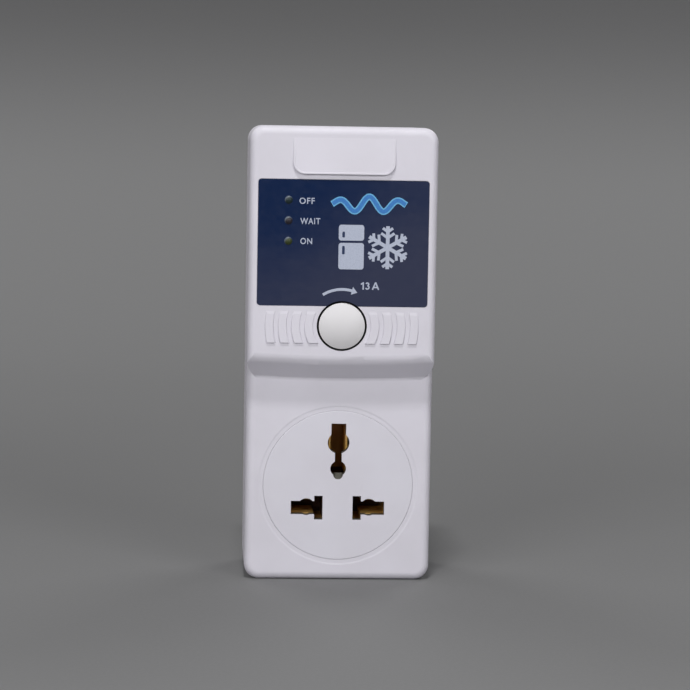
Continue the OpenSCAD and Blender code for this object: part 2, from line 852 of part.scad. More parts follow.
// Live or neutral opening on the side where X is positive
module line_opening() {
    translate([upright_x, line_z - slot_h / 2]) square([slot_reach - upright_x, slot_h]);
    translate([round_x, line_z + round_rise]) circle(r = round_r);
    translate([upright_x - upright_w / 2, line_z - upright_h / 2]) square([upright_w, upright_h]);
}

// Earth opening: flat slot, large circle, neck, small circle and its narrow tip
module earth_opening() {
    translate([-earth_w / 2, line_z + earth_round]) square([earth_w, earth_top - earth_round]);
    translate([0, line_z + earth_round]) circle(r = earth_round_r);
    translate([-earth_neck_w / 2, line_z + earth_key]) square([earth_neck_w, earth_round - earth_key]);
    translate([0, line_z + earth_key]) circle(r = earth_key_r);
    translate([0, line_z + earth_key - earth_tip_drop]) circle(r = earth_tip_r);
    polygon([
        [-earth_key_r, line_z + earth_key], [earth_key_r, line_z + earth_key],
        [earth_tip_r, line_z + earth_key - earth_tip_drop],
        [-earth_tip_r, line_z + earth_key - earth_tip_drop]
    ]);
}

module socket_insert() {
    color(insert_white) placed() difference() {
        union() {
            rod(0, socket_z, lower_y, carrier_front_y, insert_r - insert_bevel);
            translate([0, lower_y, socket_z]) rotate([-90, 0, 0])
                cylinder(h = groove_d, r1 = insert_r - insert_bevel, r2 = insert_r);
            rod(0, socket_z, lower_y + groove_d, carrier_front_y, insert_r);
            rod(0, socket_z, flange_y, carrier_front_y, insert_flange_r);
        }
        slice(lower_y - over, carrier_front_y + over) {
            line_opening();
            mirror([1, 0]) line_opening();
        }
        // The lower tip of the earth opening slopes up towards the back
        intersection() {
            slice(lower_y - over, carrier_front_y + over) earth_opening();
            across(earth_cell_x * 2) polygon([
                [lower_y - over, line_z + earth_low - over], [lower_y, line_z + earth_low - over],
                [lower_y + tip_land, line_z + earth_low],
                [carrier_front_y + over, line_z + earth_low + tip_slope_share * (flange_y - lower_y)],
                [carrier_front_y + over, line_z + earth_top + over],
                [lower_y - over, line_z + earth_top + over]
            ]);
        }
    }
}

module contact_carrier() {
    color(black_plastic) placed() difference() {
        union() {
            block([-carrier_half_w, carrier_half_w], [carrier_front_y, carrier_rear_y],
                [carrier_low_z, carrier_high_z]);
            slice(ear_y, ear_y + ear_t) for (p = carrier_screw_places) {
                translate(p) circle(r = small_boss_r);
                translate([min(p[0], 0), p[1] - small_boss_r]) square([abs(p[0]), small_boss_r * 2]);
            }
        }
        for (s = [0, 1]) mirror([s, 0, 0]) {
            block([cell_in_x, cell_out_x], [carrier_front_y - over, cell_rear_y],
                [line_z - cell_half_h, line_z + cell_half_h]);
            block([web_x - play, web_x + contact_t + play], [cell_rear_y - over, carrier_rear_y + over],
                [line_z - tail_half_h - play, line_z + tail_half_h + play]);
        }
        block([-earth_cell_x, earth_cell_x], [carrier_front_y - over, cell_rear_y],
            [line_z + earth_low, line_z + earth_top + contact_t + slide_gap]);
        block([earth_leaf_x - play, earth_leaf_x + contact_t + play],
            [cell_rear_y - over, carrier_rear_y + over],
            [line_z + earth_rise - tail_half_h - play, line_z + earth_rise + tail_half_h + play]);
        for (p = carrier_screw_places) {
            rod(p[0], p[1], ear_y - over, ear_y + ear_t + over, small_screw[0] + slide_gap);
        }
    }
}

// Line contact on the side where X is positive: two stepped leaves, their web and a tail
module line_contact() {
    zi = contact_gap;
    zo = upright_gap;
    t = contact_t;
    xi = upright_in_x;
    xs = upright_out_x;
    slice(contact_front_y, contact_front_y + contact_len) translate([0, line_z]) polygon([
        [xi, zo], [xs, zo], [xs, zi], [web_x, zi], [web_x, -zi], [xs, -zi], [xs, -zo], [xi, -zo],
        [xi, -zo - t], [xs + t, -zo - t], [xs + t, -zi - t], [web_x + t, -zi - t],
        [web_x + t, zi + t], [xs + t, zi + t], [xs + t, zo + t], [xi, zo + t]
    ]);
    block([web_x, web_x + t], [contact_front_y, tail_y], [line_z - tail_half_h, line_z + tail_half_h]);
}

module live_contact() {
    color(brass) placed() line_contact();
}

module neutral_contact() {
    color(brass) placed() mirror([1, 0, 0]) line_contact();
}

// Channel of two leaves joined by a base at its back, with a tail from one leaf
module earth_contact() {
    x = earth_leaf_x;
    z = [line_z + earth_leaf_low, line_z + earth_top];
    color(brass) placed() {
        for (s = [-1, 1]) {
            block([s * (x + contact_t / 2) - contact_t / 2, s * (x + contact_t / 2) + contact_t / 2],
                [contact_front_y, cell_rear_y], z);
        }
        block([-x - contact_t, x + contact_t], [cell_rear_y - contact_t, cell_rear_y], z);
        block([x, x + contact_t], [cell_rear_y - contact_t, tail_y],
            [line_z + earth_rise - tail_half_h, line_z + earth_rise + tail_half_h]);
    }
}

module carrier_screws() {
    color(steel) placed() for (p = carrier_screw_places) {
        screw(p[0], p[1], ear_y + ear_t, small_screw_len, small_screw);
    }
}

// Rectangular pin with a tapered tip, from a start to an end along Y
module flat_pin(x, z, w, h, y0, y1) {
    intersection() {
        translate([x, 0, z]) across(w + over) polygon([
            [y0, -h / 2], [y1 - tip_taper, -h / 2], [y1, -h / 2 + tip_taper / 2],
            [y1, h / 2 - tip_taper / 2], [y1 - tip_taper, h / 2], [y0, h / 2]
        ]);
        translate([x, 0, z - h / 2 - over]) linear_extrude(h + 2 * over) polygon([
            [-w / 2, y0], [-w / 2, y1 - tip_taper], [-w / 2 + tip_taper / 2, y1],
            [w / 2 - tip_taper / 2, y1], [w / 2, y1 - tip_taper], [w / 2, y0]
        ]);
    }
}

// Live or neutral pin: tip, waist inside the sleeve, clamped head and solder tail
module line_pin(x) {
    core_w = pin_w - core_shrink;
    core_t = pin_t - core_shrink;
    flat_pin(x, plug_z, pin_w, pin_t, sleeve_len, pin_len);
    block([x - core_w / 2, x + core_w / 2], [pin_tail_y, sleeve_len + over],
        [plug_z - core_t / 2, plug_z + core_t / 2]);
    block([x - pin_w / 2 - head_rim, x + pin_w / 2 + head_rim], [rear_inner_y - head_t, rear_inner_y],
        [plug_z - pin_t / 2 - head_rim, plug_z + pin_t / 2 + head_rim]);
}

module line_sleeve(x) {
    core_w = pin_w - core_shrink;
    core_t = pin_t - core_shrink;
    difference() {
        block([x - pin_w / 2, x + pin_w / 2], [rear_inner_y, sleeve_len],
            [plug_z - pin_t / 2, plug_z + pin_t / 2]);
        block([x - core_w / 2, x + core_w / 2], [rear_inner_y - over, sleeve_len + over],
            [plug_z - core_t / 2, plug_z + core_t / 2]);
    }
}

module live_pin() {
    color(brass) placed() line_pin(pin_x);
}

module neutral_pin() {
    color(brass) placed() line_pin(-pin_x);
}

module live_pin_sleeve() {
    color(black_plastic) placed() line_sleeve(pin_x);
}

module neutral_pin_sleeve() {
    color(black_plastic) placed() line_sleeve(-pin_x);
}

module earth_pin() {
    color(brass) placed() {
        flat_pin(0, earth_pin_z, pin_t, earth_h, rear_inner_y - head_t / 2, earth_len);
        block([-pin_t / 2 - head_rim, pin_t / 2 + head_rim], [rear_inner_y - head_t, rear_inner_y],
            [earth_pin_z - earth_h / 2 - head_rim, earth_pin_z + earth_h / 2 + head_rim]);
        block([-earth_tail_w / 2, earth_tail_w / 2], [pin_tail_y, rear_inner_y - head_t / 2],
            [earth_pin_z - earth_tail_h / 2, earth_pin_z + earth_tail_h / 2]);
    }
}

module pin_bridge() {
    g = seat_gap;
    color(black_plastic) placed() difference() {
        union() {
            block([-bridge_half_w, bridge_half_w], [bridge_y, rear_inner_y], [bridge_low_z, bridge_high_z]);
            block([-cradle_half_x - cradle_wall, cradle_half_x + cradle_wall], [cradle_rear_y, rear_inner_y],
                [fuse_z - cradle_half_h - cradle_wall, fuse_z + cradle_half_h + cradle_wall]);
        }
        // Pockets for the pins' heads and holes for their tails
        for (s = [-1, 1]) {
            block([s * pin_x - pin_w / 2 - head_rim - g, s * pin_x + pin_w / 2 + head_rim + g],
                [rear_inner_y - head_t, rear_inner_y + over],
                [plug_z - pin_t / 2 - head_rim - g, plug_z + pin_t / 2 + head_rim + g]);
            block([s * pin_x - (pin_w - core_shrink) / 2 - g, s * pin_x + (pin_w - core_shrink) / 2 + g],
                [bridge_y - over, rear_inner_y],
                [plug_z - (pin_t - core_shrink) / 2 - g, plug_z + (pin_t - core_shrink) / 2 + g]);
            // Slots for the clips' tabs
            block([s * clip_x - tab_w / 2 - g, s * clip_x + tab_w / 2 + g],
                [cradle_rear_y - over, cradle_floor_y + over],
                [fuse_z - tab_t / 2 - g, fuse_z + tab_t / 2 + g]);
        }
        block([-pin_t / 2 - head_rim - g, pin_t / 2 + head_rim + g],
            [rear_inner_y - head_t, rear_inner_y + over],
            [earth_pin_z - earth_h / 2 - head_rim - g, earth_pin_z + earth_h / 2 + head_rim + g]);
        block([-earth_tail_w / 2 - g, earth_tail_w / 2 + g], [bridge_y - over, rear_inner_y],
            [earth_pin_z - earth_tail_h / 2 - g, earth_pin_z + earth_tail_h / 2 + g]);
        block([-cradle_half_x, cradle_half_x], [cradle_floor_y, rear_inner_y + over],
            [fuse_z - cradle_half_h, fuse_z + cradle_half_h]);
        for (p = bridge_screw_places) {
            rod(p[0], p[1], bridge_y - over, rear_inner_y + over, small_screw[0] + slide_gap);
            rod(p[0], p[1], rear_inner_y - bridge_post_h - g, rear_inner_y + over, bridge_post_r + g);
        }
    }
}

module bridge_screws() {
    color(steel) placed() for (p = bridge_screw_places) {
        inside_screw(p[0], p[1], bridge_y, bridge_screw_len, small_screw);
    }
}

// Spring clip around a fuse cap, open towards the wall, with its solder tab
module fuse_clip(x) {
    z = clip_jaw_z;
    t = clip_t;
    translate([x, 0, fuse_z]) across(clip_w) polygon([
        [clip_base_y, -z], [jaw_open_y, -z], [jaw_open_y, -z - t], [clip_base_y - t, -z - t],
        [clip_base_y - t, z + t], [jaw_open_y, z + t], [jaw_open_y, z], [clip_base_y, z]
    ]);
    block([x - tab_w / 2, x + tab_w / 2], [tab_y, clip_base_y - t / 2],
        [fuse_z - tab_t / 2, fuse_z + tab_t / 2]);
}

module line_fuse_clip() {
    color(brass) placed() fuse_clip(clip_x);
}

module load_fuse_clip() {
    color(brass) placed() fuse_clip(-clip_x);
}

// Strip from the live pin's tail up to the line clip's tab
module pin_link() {
    x = [clip_x - tab_w / 2 + over, pin_x + tab_w / 2];
    color(brass) placed() {
        block(x, [tab_y - tab_t, pin_tail_y], [plug_z - tab_t / 2, plug_z + tab_t / 2]);
        block(x, [tab_y - tab_t, tab_y], [plug_z - tab_t / 2, fuse_z + tab_w / 2]);
    }
}

module fuse_rod(x0, x1, r) {
    translate([x0, fuse_y, fuse_z]) rotate([0, 90, 0]) cylinder(h = x1 - x0, r = r);
}

module fuse_tube() {
    x = fuse_len / 2 - cap_len;
    color(ceramic_white) placed() fuse_rod(-x, x, tube_r);
}

module fuse_caps() {
    color(steel) placed() {
        fuse_rod(-fuse_len / 2, -fuse_len / 2 + cap_len, fuse_r);
        fuse_rod(fuse_len / 2 - cap_len, fuse_len / 2, fuse_r);
    }
}

// Drawer: a flush face with a pry notch, and a grip that holds the fuse's tube
module fuse_drawer() {
    color(plastic_white) placed() difference() {
        union() {
            slice(drawer_stop_y, 0) drawer_outline(0);
            block([-drawer_grip_x, drawer_grip_x], [fuse_y - drawer_grip_wrap, drawer_stop_y + wall / 2],
                [fuse_z - drawer_grip_half_h, fuse_z + drawer_grip_half_h]);
        }
        fuse_rod(-drawer_grip_x - over, drawer_grip_x + over, tube_r + play);
        block([-drawer_half_x + drawer_notch, -drawer_half_x + 3 * drawer_notch], [-drawer_notch, over],
            [fuse_z - drawer_notch * 2, fuse_z + drawer_notch * 2]);
        block([drawer_half_x - 3 * drawer_notch, drawer_half_x - drawer_notch], [-drawer_notch, over],
            [fuse_z - drawer_notch * 2, fuse_z + drawer_notch * 2]);
    }
}

// Domed cap with a hollow skirt, a stop flange and the stem that meets the switch
module bypass_button() {
    skirt_y = sleeve_y + button_flange_t;
    color(plastic_white) placed() difference() {
        union() {
            intersection() {
                translate([0, rim_y - button_dome + dome_r, button_z]) sphere(r = dome_r, $fn = 96);
                rod(0, button_z, rim_y - button_dome - over, skirt_y, button_r);
            }
            rod(0, button_z, sleeve_y, skirt_y, button_hole_r + button_flange_w);
        }
        difference() {
            rod(0, button_z, cap_roof_y, skirt_y + over, button_r - cap_wall);
            rod(0, button_z, cap_roof_y - over, skirt_y + 2 * over, stem_r);
        }
    }
    color(plastic_white) placed() rod(0, button_z, cap_roof_y - cap_wall / 2, stem_y, stem_r);
}

// One unbroken helical tube: a ring of points at each step, joined to the next
module button_spring() {
    y0 = cap_roof_y + spring_wire_d / 2 + spring_seat_gap;
    y1 = pcb_front_y - spring_wire_d / 2 - spring_seat_gap;
    steps = spring_turns * spring_rings;
    rise = (y1 - y0) / steps;
    wire_r = spring_wire_d / 2;
    points = [
        for (i = [0 : steps], j = [0 : spring_sides - 1])
            let (a = i * 360 / spring_rings, b = j * 360 / spring_sides, r = spring_r + wire_r * cos(b))
            [r * cos(a), y0 + i * rise + wire_r * sin(b), r * sin(a) + button_z]
    ];
    sides = [
        for (i = [0 : steps - 1], j = [0 : spring_sides - 1])
            let (k = (j + 1) % spring_sides, a = i * spring_sides, b = (i + 1) * spring_sides)
            each [[a + j, a + k, b + j], [a + k, b + k, b + j]]
    ];
    last = steps * spring_sides;
    ends = [
        for (j = [1 : spring_sides - 2])
            each [[0, j + 1, j], [last, last + j, last + j + 1]]
    ];
    echo(spring_gap = rise * spring_rings - spring_wire_d);
    color(steel) placed() polyhedron(points = points, faces = concat(sides, ends));
}

module switch_body() {
    color(black_plastic) placed() difference() {
        block([-switch_half_w, switch_half_w], [switch_y, pcb_front_y],
            [button_z - switch_half_w, button_z + switch_half_w]);
        rod(0, button_z, switch_y - over, plunger_floor_y, plunger_r + play);
    }
}

module switch_plunger() {
    color(resistor_tan) placed() rod(0, button_z, stem_y, plunger_in_y, plunger_r);
}

// Indicator: domed lens, base flange and two square leads into the board
module led(z) {
    union() {
        translate([-led_x, led_tip_y + led_r, z]) sphere(r = led_r, $fn = 32);
        rod(-led_x, z, led_tip_y + led_r, led_base_y, led_r);
        rod(-led_x, z, led_base_y - led_flange_t, led_base_y, led_flange_r);
    }
    for (s = [-1, 1]) {
        block([-led_x + s * led_lead_x - led_lead_half, -led_x + s * led_lead_x + led_lead_half],
            [led_base_y - led_flange_t / 2, pcb_rear_y + lead_out], [z - led_lead_half, z + led_lead_half]);
    }
}

module off_led() {
    color("firebrick") placed() led(led_z[2]);
}

module wait_led() {
    color("orange") placed() led(led_z[1]);
}

module on_led() {
    color("limegreen") placed() led(led_z[0]);
}

module led_holder() {
    g = seat_gap;
    color(black_plastic) placed() difference() {
        block([-led_x - holder_half_w, -led_x + holder_half_w], [led_base_y, pcb_front_y],
            [led_z[0] - holder_half_w, led_z[2] + holder_half_w]);
        for (z = led_z, s = [-1, 1]) {
            x = -led_x + s * led_lead_x;
            block([x - led_lead_half - g, x + led_lead_half + g], [led_base_y - over, pcb_front_y + over],
                [z - led_lead_half - g, z + led_lead_half + g]);
        }
    }
}

// Places of the leads that pass through the board
relay_leads = [
    for (s = relay_lead_shares) [relay_x + s[0] * relay_w, relay_z + s[1] * relay_h]
];
dropper_leads = [for (s = [-1, 1]) [dropper_x, dropper_z + s * dropper_lead_share * dropper_h]];
smoothing_leads = [for (s = [-1, 1]) [smoothing_x + s * smoothing_lead_x, smoothing_z]];
varistor_leads = [for (s = [-1, 1]) [varistor_x + s * varistor_lead_x, varistor_z]];
rectifier_leads = [
    for (s = [-1, 1], u = [-1, 1])
        [rectifier_x + s * rectifier_lead_share * rectifier_size[0],
         rectifier_z + u * rectifier_lead_share * rectifier_size[1]]
];
round_leads = concat(relay_leads, dropper_leads, smoothing_leads, varistor_leads, rectifier_leads);

// Leads from a component on the board's rear side, through to its front
module rear_leads(places, y) {
    for (p = places) rod(p[0], p[1], pcb_front_y - lead_out, y, lead_r);
}

module main_pcb() {
    g = seat_gap;
    color(board_green) placed() difference() {
        block([-pcb_w / 2, pcb_w / 2], [pcb_front_y, pcb_rear_y], [pcb_z, pcb_z + pcb_h]);
        for (p = pcb_screw_places) {
            rod(p[0], p[1], pcb_front_y - over, pcb_rear_y + over, small_screw[0] + slide_gap);
        }
        for (p = round_leads) rod(p[0], p[1], pcb_front_y - over, pcb_rear_y + over, lead_r + g);
        for (z = led_z, s = [-1, 1]) {
            x = -led_x + s * led_lead_x;
            block([x - led_lead_half - g, x + led_lead_half + g], [pcb_front_y - over, pcb_rear_y + over],
                [z - led_lead_half - g, z + led_lead_half + g]);
        }
    }
}

module pcb_screws() {
    color(steel) placed() for (p = pcb_screw_places) {
        screw(p[0], p[1], pcb_rear_y, small_screw_len, small_screw);
    }
}

// Box-shaped component on the board's rear side
module rear_box(x, z, size) {
    block([x - size[0] / 2, x + size[0] / 2], [pcb_rear_y, pcb_rear_y + size[2]],
        [z - size[1] / 2, z + size[1] / 2]);
}

module relay() {
    color(relay_blue) placed() {
        rear_box(relay_x, relay_z, [relay_w, relay_h, relay_d]);
        rear_leads(relay_leads, pcb_rear_y + over);
    }
}

module dropper_capacitor() {
    color(box_yellow) placed() {
        rear_box(dropper_x, dropper_z, [dropper_w, dropper_h, dropper_d]);
        rear_leads(dropper_leads, pcb_rear_y + over);
    }
}

module smoothing_capacitor() {
    color(black_plastic) placed() {
        rod(smoothing_x, smoothing_z, pcb_rear_y + stand_off, pcb_rear_y + stand_off + smoothing_len,
            smoothing_r);
        rear_leads(smoothing_leads, pcb_rear_y + stand_off + over);
    }
}

// Coated disc standing on its two leads
module varistor() {
    y = pcb_rear_y + varistor_lift + varistor_r;
    color(varistor_blue) placed() {
        translate([varistor_x, y, varistor_z - varistor_t / 2]) cylinder(h = varistor_t, r = varistor_r);
        rear_leads(varistor_leads, y);
    }
}

module rectifier() {
    color(black_plastic) placed() {
        rear_box(rectifier_x, rectifier_z, rectifier_size);
        rear_leads(rectifier_leads, pcb_rear_y + over);
    }
}

// Chip on the board's front side, on two rows of feet
module controller_chip() {
    foot_y = pcb_front_y - chip_size[2];
    color(black_plastic) placed() {
        block([chip_x - chip_size[0] / 2, chip_x + chip_size[0] / 2], [foot_y, pcb_front_y - stand_off],
            [chip_z - chip_size[1] / 2, chip_z + chip_size[1] / 2]);
        for (i = [0 : chip_legs - 1]) {
            x = chip_x + (i - (chip_legs - 1) / 2) * chip_leg_pitch;
            block([x - chip_leg_w / 2, x + chip_leg_w / 2], [pcb_front_y - chip_size[2] / 2, pcb_front_y],
                [chip_z - chip_size[1] / 2 - chip_leg_out, chip_z + chip_size[1] / 2 + chip_leg_out]);
        }
    }
}

// Row of resistors on the board's front side
module resistors() {
    color(resistor_tan) placed() for (i = [0 : resistor_count - 1]) {
        z = resistor_z + i * resistor_pitch;
        translate([resistor_x - resistor_l / 2, pcb_front_y - resistor_r - stand_off, z])
            rotate([0, 90, 0]) cylinder(h = resistor_l, r = resistor_r);
        for (s = [-1, 1]) {
            x = resistor_x + s * resistor_l / 2 - s * lead_r * 2;
            block([x - lead_r, x + lead_r], [pcb_front_y - resistor_r, pcb_front_y],
                [z - lead_r, z + lead_r]);
        }
    }
}

// Turn that takes a cylinder from Z onto one axis direction
function along(u) = u[0] != 0 ? [0, 90 * u[0], 0] : [u[1] != 0 ? -90 * u[1] : 90 - 90 * u[2], 0, 0];

// Straight stretch of wire between two points on one axis
module wire_run(p, q, d) {
    translate(p) rotate(along((q - p) / norm(q - p))) cylinder(h = norm(q - p), r = d / 2, $fn = 24);
}

// Quarter bend in the plane of two axis directions, from a point along u into a turn towards v
module wire_bend_at(p, u, v, r, d) {
    w = cross(u, v);
    translate(p + r * v) multmatrix([
        [-v[0], u[0], w[0], 0],
        [-v[1], u[1], w[1], 0],
        [-v[2], u[2], w[2], 0],
        [0, 0, 0, 1]
    ]) rotate_extrude(angle = 90, $fn = 48) translate([r, 0]) circle(r = d / 2, $fn = 24);
}

// Wire through corner points, with a round bend of one radius at each corner
module wire(points, d, r) {
    n = len(points) - 1;
    dirs = [for (i = [0 : n - 1]) (points[i + 1] - points[i]) / norm(points[i + 1] - points[i])];
    for (i = [0 : n - 1]) {
        wire_run(points[i] + (i > 0 ? r : 0) * dirs[i], points[i + 1] - (i < n - 1 ? r : 0) * dirs[i], d);
    }
    for (i = [1 : n - 1]) wire_bend_at(points[i] - r * dirs[i - 1], dirs[i - 1], dirs[i], r, d);
}

// From the fuse's load clip straight to the relay board
module live_wire() {
    color(live_brown) placed() rod(-clip_x, fuse_z, pcb_rear_y, tab_y, tap_d / 2);
}

// From the relay board down to the live contact
module load_wire() {
    color(live_brown) placed() wire([
        [wire_x, pcb_rear_y, load_pad_z], [wire_x, wire_y, load_pad_z], [wire_x, wire_y, line_z],
        [web_x + contact_t, wire_y, line_z]
    ], wire_d, wire_bend);
}

// From the neutral pin down to the neutral contact
module neutral_wire() {
    color(neutral_blue) placed() wire([
        [-pin_x - (pin_w - core_shrink) / 2, wire_y, plug_z], [-wire_x, wire_y, plug_z],
        [-wire_x, wire_y, line_z], [-web_x - contact_t, wire_y, line_z]
    ], wire_d, wire_bend);
}

// Thin wire from the neutral pin's tail to the board
module tap_wire() {
    color(neutral_blue) placed() wire([
        [-pin_x, pin_tail_y, plug_z], [-pin_x, tap_y, plug_z], [tap_x, tap_y, plug_z],
        [tap_x, pcb_rear_y, plug_z]
    ], tap_d, tap_bend);
}

// From the earth pin down to the earth contact
module earth_wire() {
    color(earth_green) placed() wire([
        [earth_tail_w / 2, wire_y, earth_pin_z], [earth_wire_x, wire_y, earth_pin_z],
        [earth_wire_x, wire_y, line_z + earth_rise], [earth_leaf_x + contact_t, wire_y, line_z + earth_rise]
    ], wire_d, wire_bend);
}

front_cover();
rear_cover();
fascia_label();
case_screws();
socket_insert();
contact_carrier();
live_contact();
neutral_contact();
earth_contact();
carrier_screws();
live_pin();
neutral_pin();
earth_pin();
live_pin_sleeve();
neutral_pin_sleeve();
pin_bridge();
bridge_screws();
fuse_drawer();
fuse_tube();
fuse_caps();
line_fuse_clip();
load_fuse_clip();
pin_link();
bypass_button();
button_spring();
switch_body();
switch_plunger();
off_led();
wait_led();
on_led();
led_holder();
main_pcb();
pcb_screws();
relay();
dropper_capacitor();
smoothing_capacitor();
varistor();
controller_chip();
rectifier();
resistors();
live_wire();
load_wire();
neutral_wire();
tap_wire();
earth_wire();
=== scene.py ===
"""Looks of a plug-through voltage protector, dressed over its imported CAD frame.

Every length is in metres, in the frame of the CAD part: X across the body, Y towards the wall, Z up.
"""

import math

import bmesh
import bpy
from mathutils import Matrix, Vector


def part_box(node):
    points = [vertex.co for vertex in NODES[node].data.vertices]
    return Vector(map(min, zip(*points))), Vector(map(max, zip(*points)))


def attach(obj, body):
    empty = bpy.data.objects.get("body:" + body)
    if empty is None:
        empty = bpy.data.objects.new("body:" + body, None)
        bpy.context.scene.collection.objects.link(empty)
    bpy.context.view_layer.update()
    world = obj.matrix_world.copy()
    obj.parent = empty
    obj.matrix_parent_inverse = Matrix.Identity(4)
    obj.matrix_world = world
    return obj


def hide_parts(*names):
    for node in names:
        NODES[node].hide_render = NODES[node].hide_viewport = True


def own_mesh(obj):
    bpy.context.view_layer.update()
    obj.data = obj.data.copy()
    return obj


MM = 0.001

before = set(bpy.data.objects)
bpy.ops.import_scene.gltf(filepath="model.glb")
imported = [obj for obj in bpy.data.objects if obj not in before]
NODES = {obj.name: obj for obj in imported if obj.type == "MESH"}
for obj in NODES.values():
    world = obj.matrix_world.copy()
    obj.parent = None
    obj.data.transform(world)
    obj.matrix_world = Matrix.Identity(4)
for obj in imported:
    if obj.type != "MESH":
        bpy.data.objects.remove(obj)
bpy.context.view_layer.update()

# Places taken from the frame
LABEL_LOW, LABEL_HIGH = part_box("fascia_label")
BUTTON_LOW, BUTTON_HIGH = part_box("bypass_button")
BUTTON_CENTRE = (BUTTON_LOW + BUTTON_HIGH) / 2
LEDS = {name: sum(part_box(name), Vector()) / 2 for name in ("off_led", "wait_led", "on_led")}
INSERT_LOW, INSERT_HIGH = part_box("socket_insert")
INSERT_CENTRE = (INSERT_LOW + INSERT_HIGH) / 2

# Sizes that repeat those of the CAD part
FILM_THICKNESS = 0.25 * MM
BUTTON_R = 7.1 * MM
BUTTON_GAP = 0.6 * MM
BUTTON_DOME = 1.8 * MM
INSERT_RIM_R = 23.4 * MM
LAMP_DOME_R = 1.275 * MM

# Face of the film that the marks are printed on
FILM_Y = LABEL_HIGH.y - FILM_THICKNESS
# Weights that leave the depth out of a distance, so that it is measured in the front view
FRONT_VIEW = (1.0, 0.0, 1.0)

# Camera, solved from the photograph
CAMERA_X = -42.95 * MM
CAMERA_BEFORE_FACE = 777.4 * MM
CAMERA_Z = 143.09 * MM
CAMERA_YAW = math.radians(3.27)
CAMERA_PITCH = math.radians(5.08)
CAMERA_ROLL = math.radians(1.0)
FOCAL_PIXELS = 2514.5
FRAME_PIXELS = 690
SENSOR_MM = 36

# Colour that each lamp gives the film over it
LAMP_TINTS = {
    "off_led": (0.006, 0.020, 0.022),
    "wait_led": (0.018, 0.014, 0.022),
    "on_led": (0.032, 0.046, 0.009),
}
# Colour of the painted highlight, a pale crescent on each lamp's dome
LAMP_PAINTED_HIGHLIGHT = (0.12, 0.145, 0.18)
# Ink of the printed marks
INK = 0.02 * MM
WORD_HEIGHT = 1.92 * MM
# For each lamp, its word, its left end, its width and how far its base lies below the lamp's middle
LAMP_WORDS = {
    "off_led": ("OFF", -13.65 * MM, 4.7 * MM, 1.2 * MM),
    "wait_led": ("WAIT", -13.3 * MM, 6.15 * MM, 1.1 * MM),
    "on_led": ("ON", -13.2 * MM, 3.65 * MM, 0.95 * MM),
}


# Node helpers

class Shader:
    """A material's node tree, with short calls for the nodes that these finishes share."""

    def __init__(self, name):
        self.material = bpy.data.materials.new(name)
        self.material.use_nodes = True
        self.tree = self.material.node_tree
        self.bsdf = self.tree.nodes["Principled BSDF"]
        self.place = self.add("ShaderNodeTexCoord").outputs["Object"]

    def add(self, kind, **values):
        node = self.tree.nodes.new(kind)
        for key, value in values.items():
            setattr(node, key, value)
        return node

    def link(self, source, target):
        self.tree.links.new(source, target)

    def set(self, **values):
        for key, value in values.items():
            self.bsdf.inputs[key.replace("_", " ")].default_value = value

    def noise(self, scale, detail=3.0, rough=0.5, stretch=None):
        node = self.add("ShaderNodeTexNoise")
        node.inputs["Scale"].default_value = scale
        node.inputs["Detail"].default_value = detail
        node.inputs["Roughness"].default_value = rough
        self.link(self.stretched(stretch) if stretch else self.place, node.inputs["Vector"])
        return node.outputs["Fac"]

    def stretched(self, factors):
        node = self.add("ShaderNodeMapping")
        node.inputs["Scale"].default_value = factors
        self.link(self.place, node.inputs["Vector"])
        return node.outputs["Vector"]

    def ramp(self, value, low, high, out_low=0.0, out_high=1.0):
        node = self.add("ShaderNodeMapRange", interpolation_type="SMOOTHSTEP")
        node.inputs["From Min"].default_value = low
        node.inputs["From Max"].default_value = high
        node.inputs["To Min"].default_value = out_low
        node.inputs["To Max"].default_value = out_high
        self.link(value, node.inputs["Value"])
        return node.outputs["Result"]

    def math(self, operation, a, b=None):
        node = self.add("ShaderNodeMath", operation=operation)
        for socket, value in zip(node.inputs, (a, b)):
            if value is None:
                continue
            if isinstance(value, (int, float)):
                socket.default_value = value
            else:
                self.link(value, socket)
        return node.outputs[0]

    def mix(self, factor, a, b):
        node = self.add("ShaderNodeMix", data_type="RGBA")
        for socket, value in ((node.inputs["Factor"], factor), (node.inputs["A"], a), (node.inputs["B"], b)):
            if isinstance(value, tuple):
                socket.default_value = (*value, 1.0)
            elif isinstance(value, (int, float)):
                socket.default_value = value
            else:
                self.link(value, socket)
        return node.outputs["Result"]

    def axes(self):
        node = self.add("ShaderNodeSeparateXYZ")
        self.link(self.place, node.inputs[0])
        return node.outputs

    def distance(self, point, flatten=(1.0, 1.0, 1.0)):
        """Distance from a point, with the axes weighted by flatten."""
        shift = self.add("ShaderNodeVectorMath", operation="SUBTRACT")
        self.link(self.place, shift.inputs[0])
        shift.inputs[1].default_value = point
        weigh = self.add("ShaderNodeVectorMath", operation="MULTIPLY")
        self.link(shift.outputs[0], weigh.inputs[0])
        weigh.inputs[1].default_value = flatten
        length = self.add("ShaderNodeVectorMath", operation="LENGTH")
        self.link(weigh.outputs[0], length.inputs[0])
        return length.outputs["Value"]

    def base(self, colour):
        if isinstance(colour, tuple):
            self.bsdf.inputs["Base Color"].default_value = (*colour, 1.0)
        else:
            self.link(colour, self.bsdf.inputs["Base Color"])

    def roughness(self, value):
        self.link(value, self.bsdf.inputs["Roughness"])

    def bump(self, height, depth, strength=1.0, soft_edge=None):
        """Bump of a real depth. soft_edge rounds the sharp edges of the solid by that radius."""
        node = self.add("ShaderNodeBump")
        node.inputs["Strength"].default_value = strength
        node.inputs["Distance"].default_value = depth
        self.link(height, node.inputs["Height"])
        if soft_edge:
            bevel = self.add("ShaderNodeBevel", samples=6)
            bevel.inputs["Radius"].default_value = soft_edge
            self.link(bevel.outputs["Normal"], node.inputs["Normal"])
        self.link(node.outputs["Normal"], self.bsdf.inputs["Normal"])


# Finishes

WHITE = (0.74, 0.718, 0.79)
WHITE_DUSTY = (0.705, 0.684, 0.75)


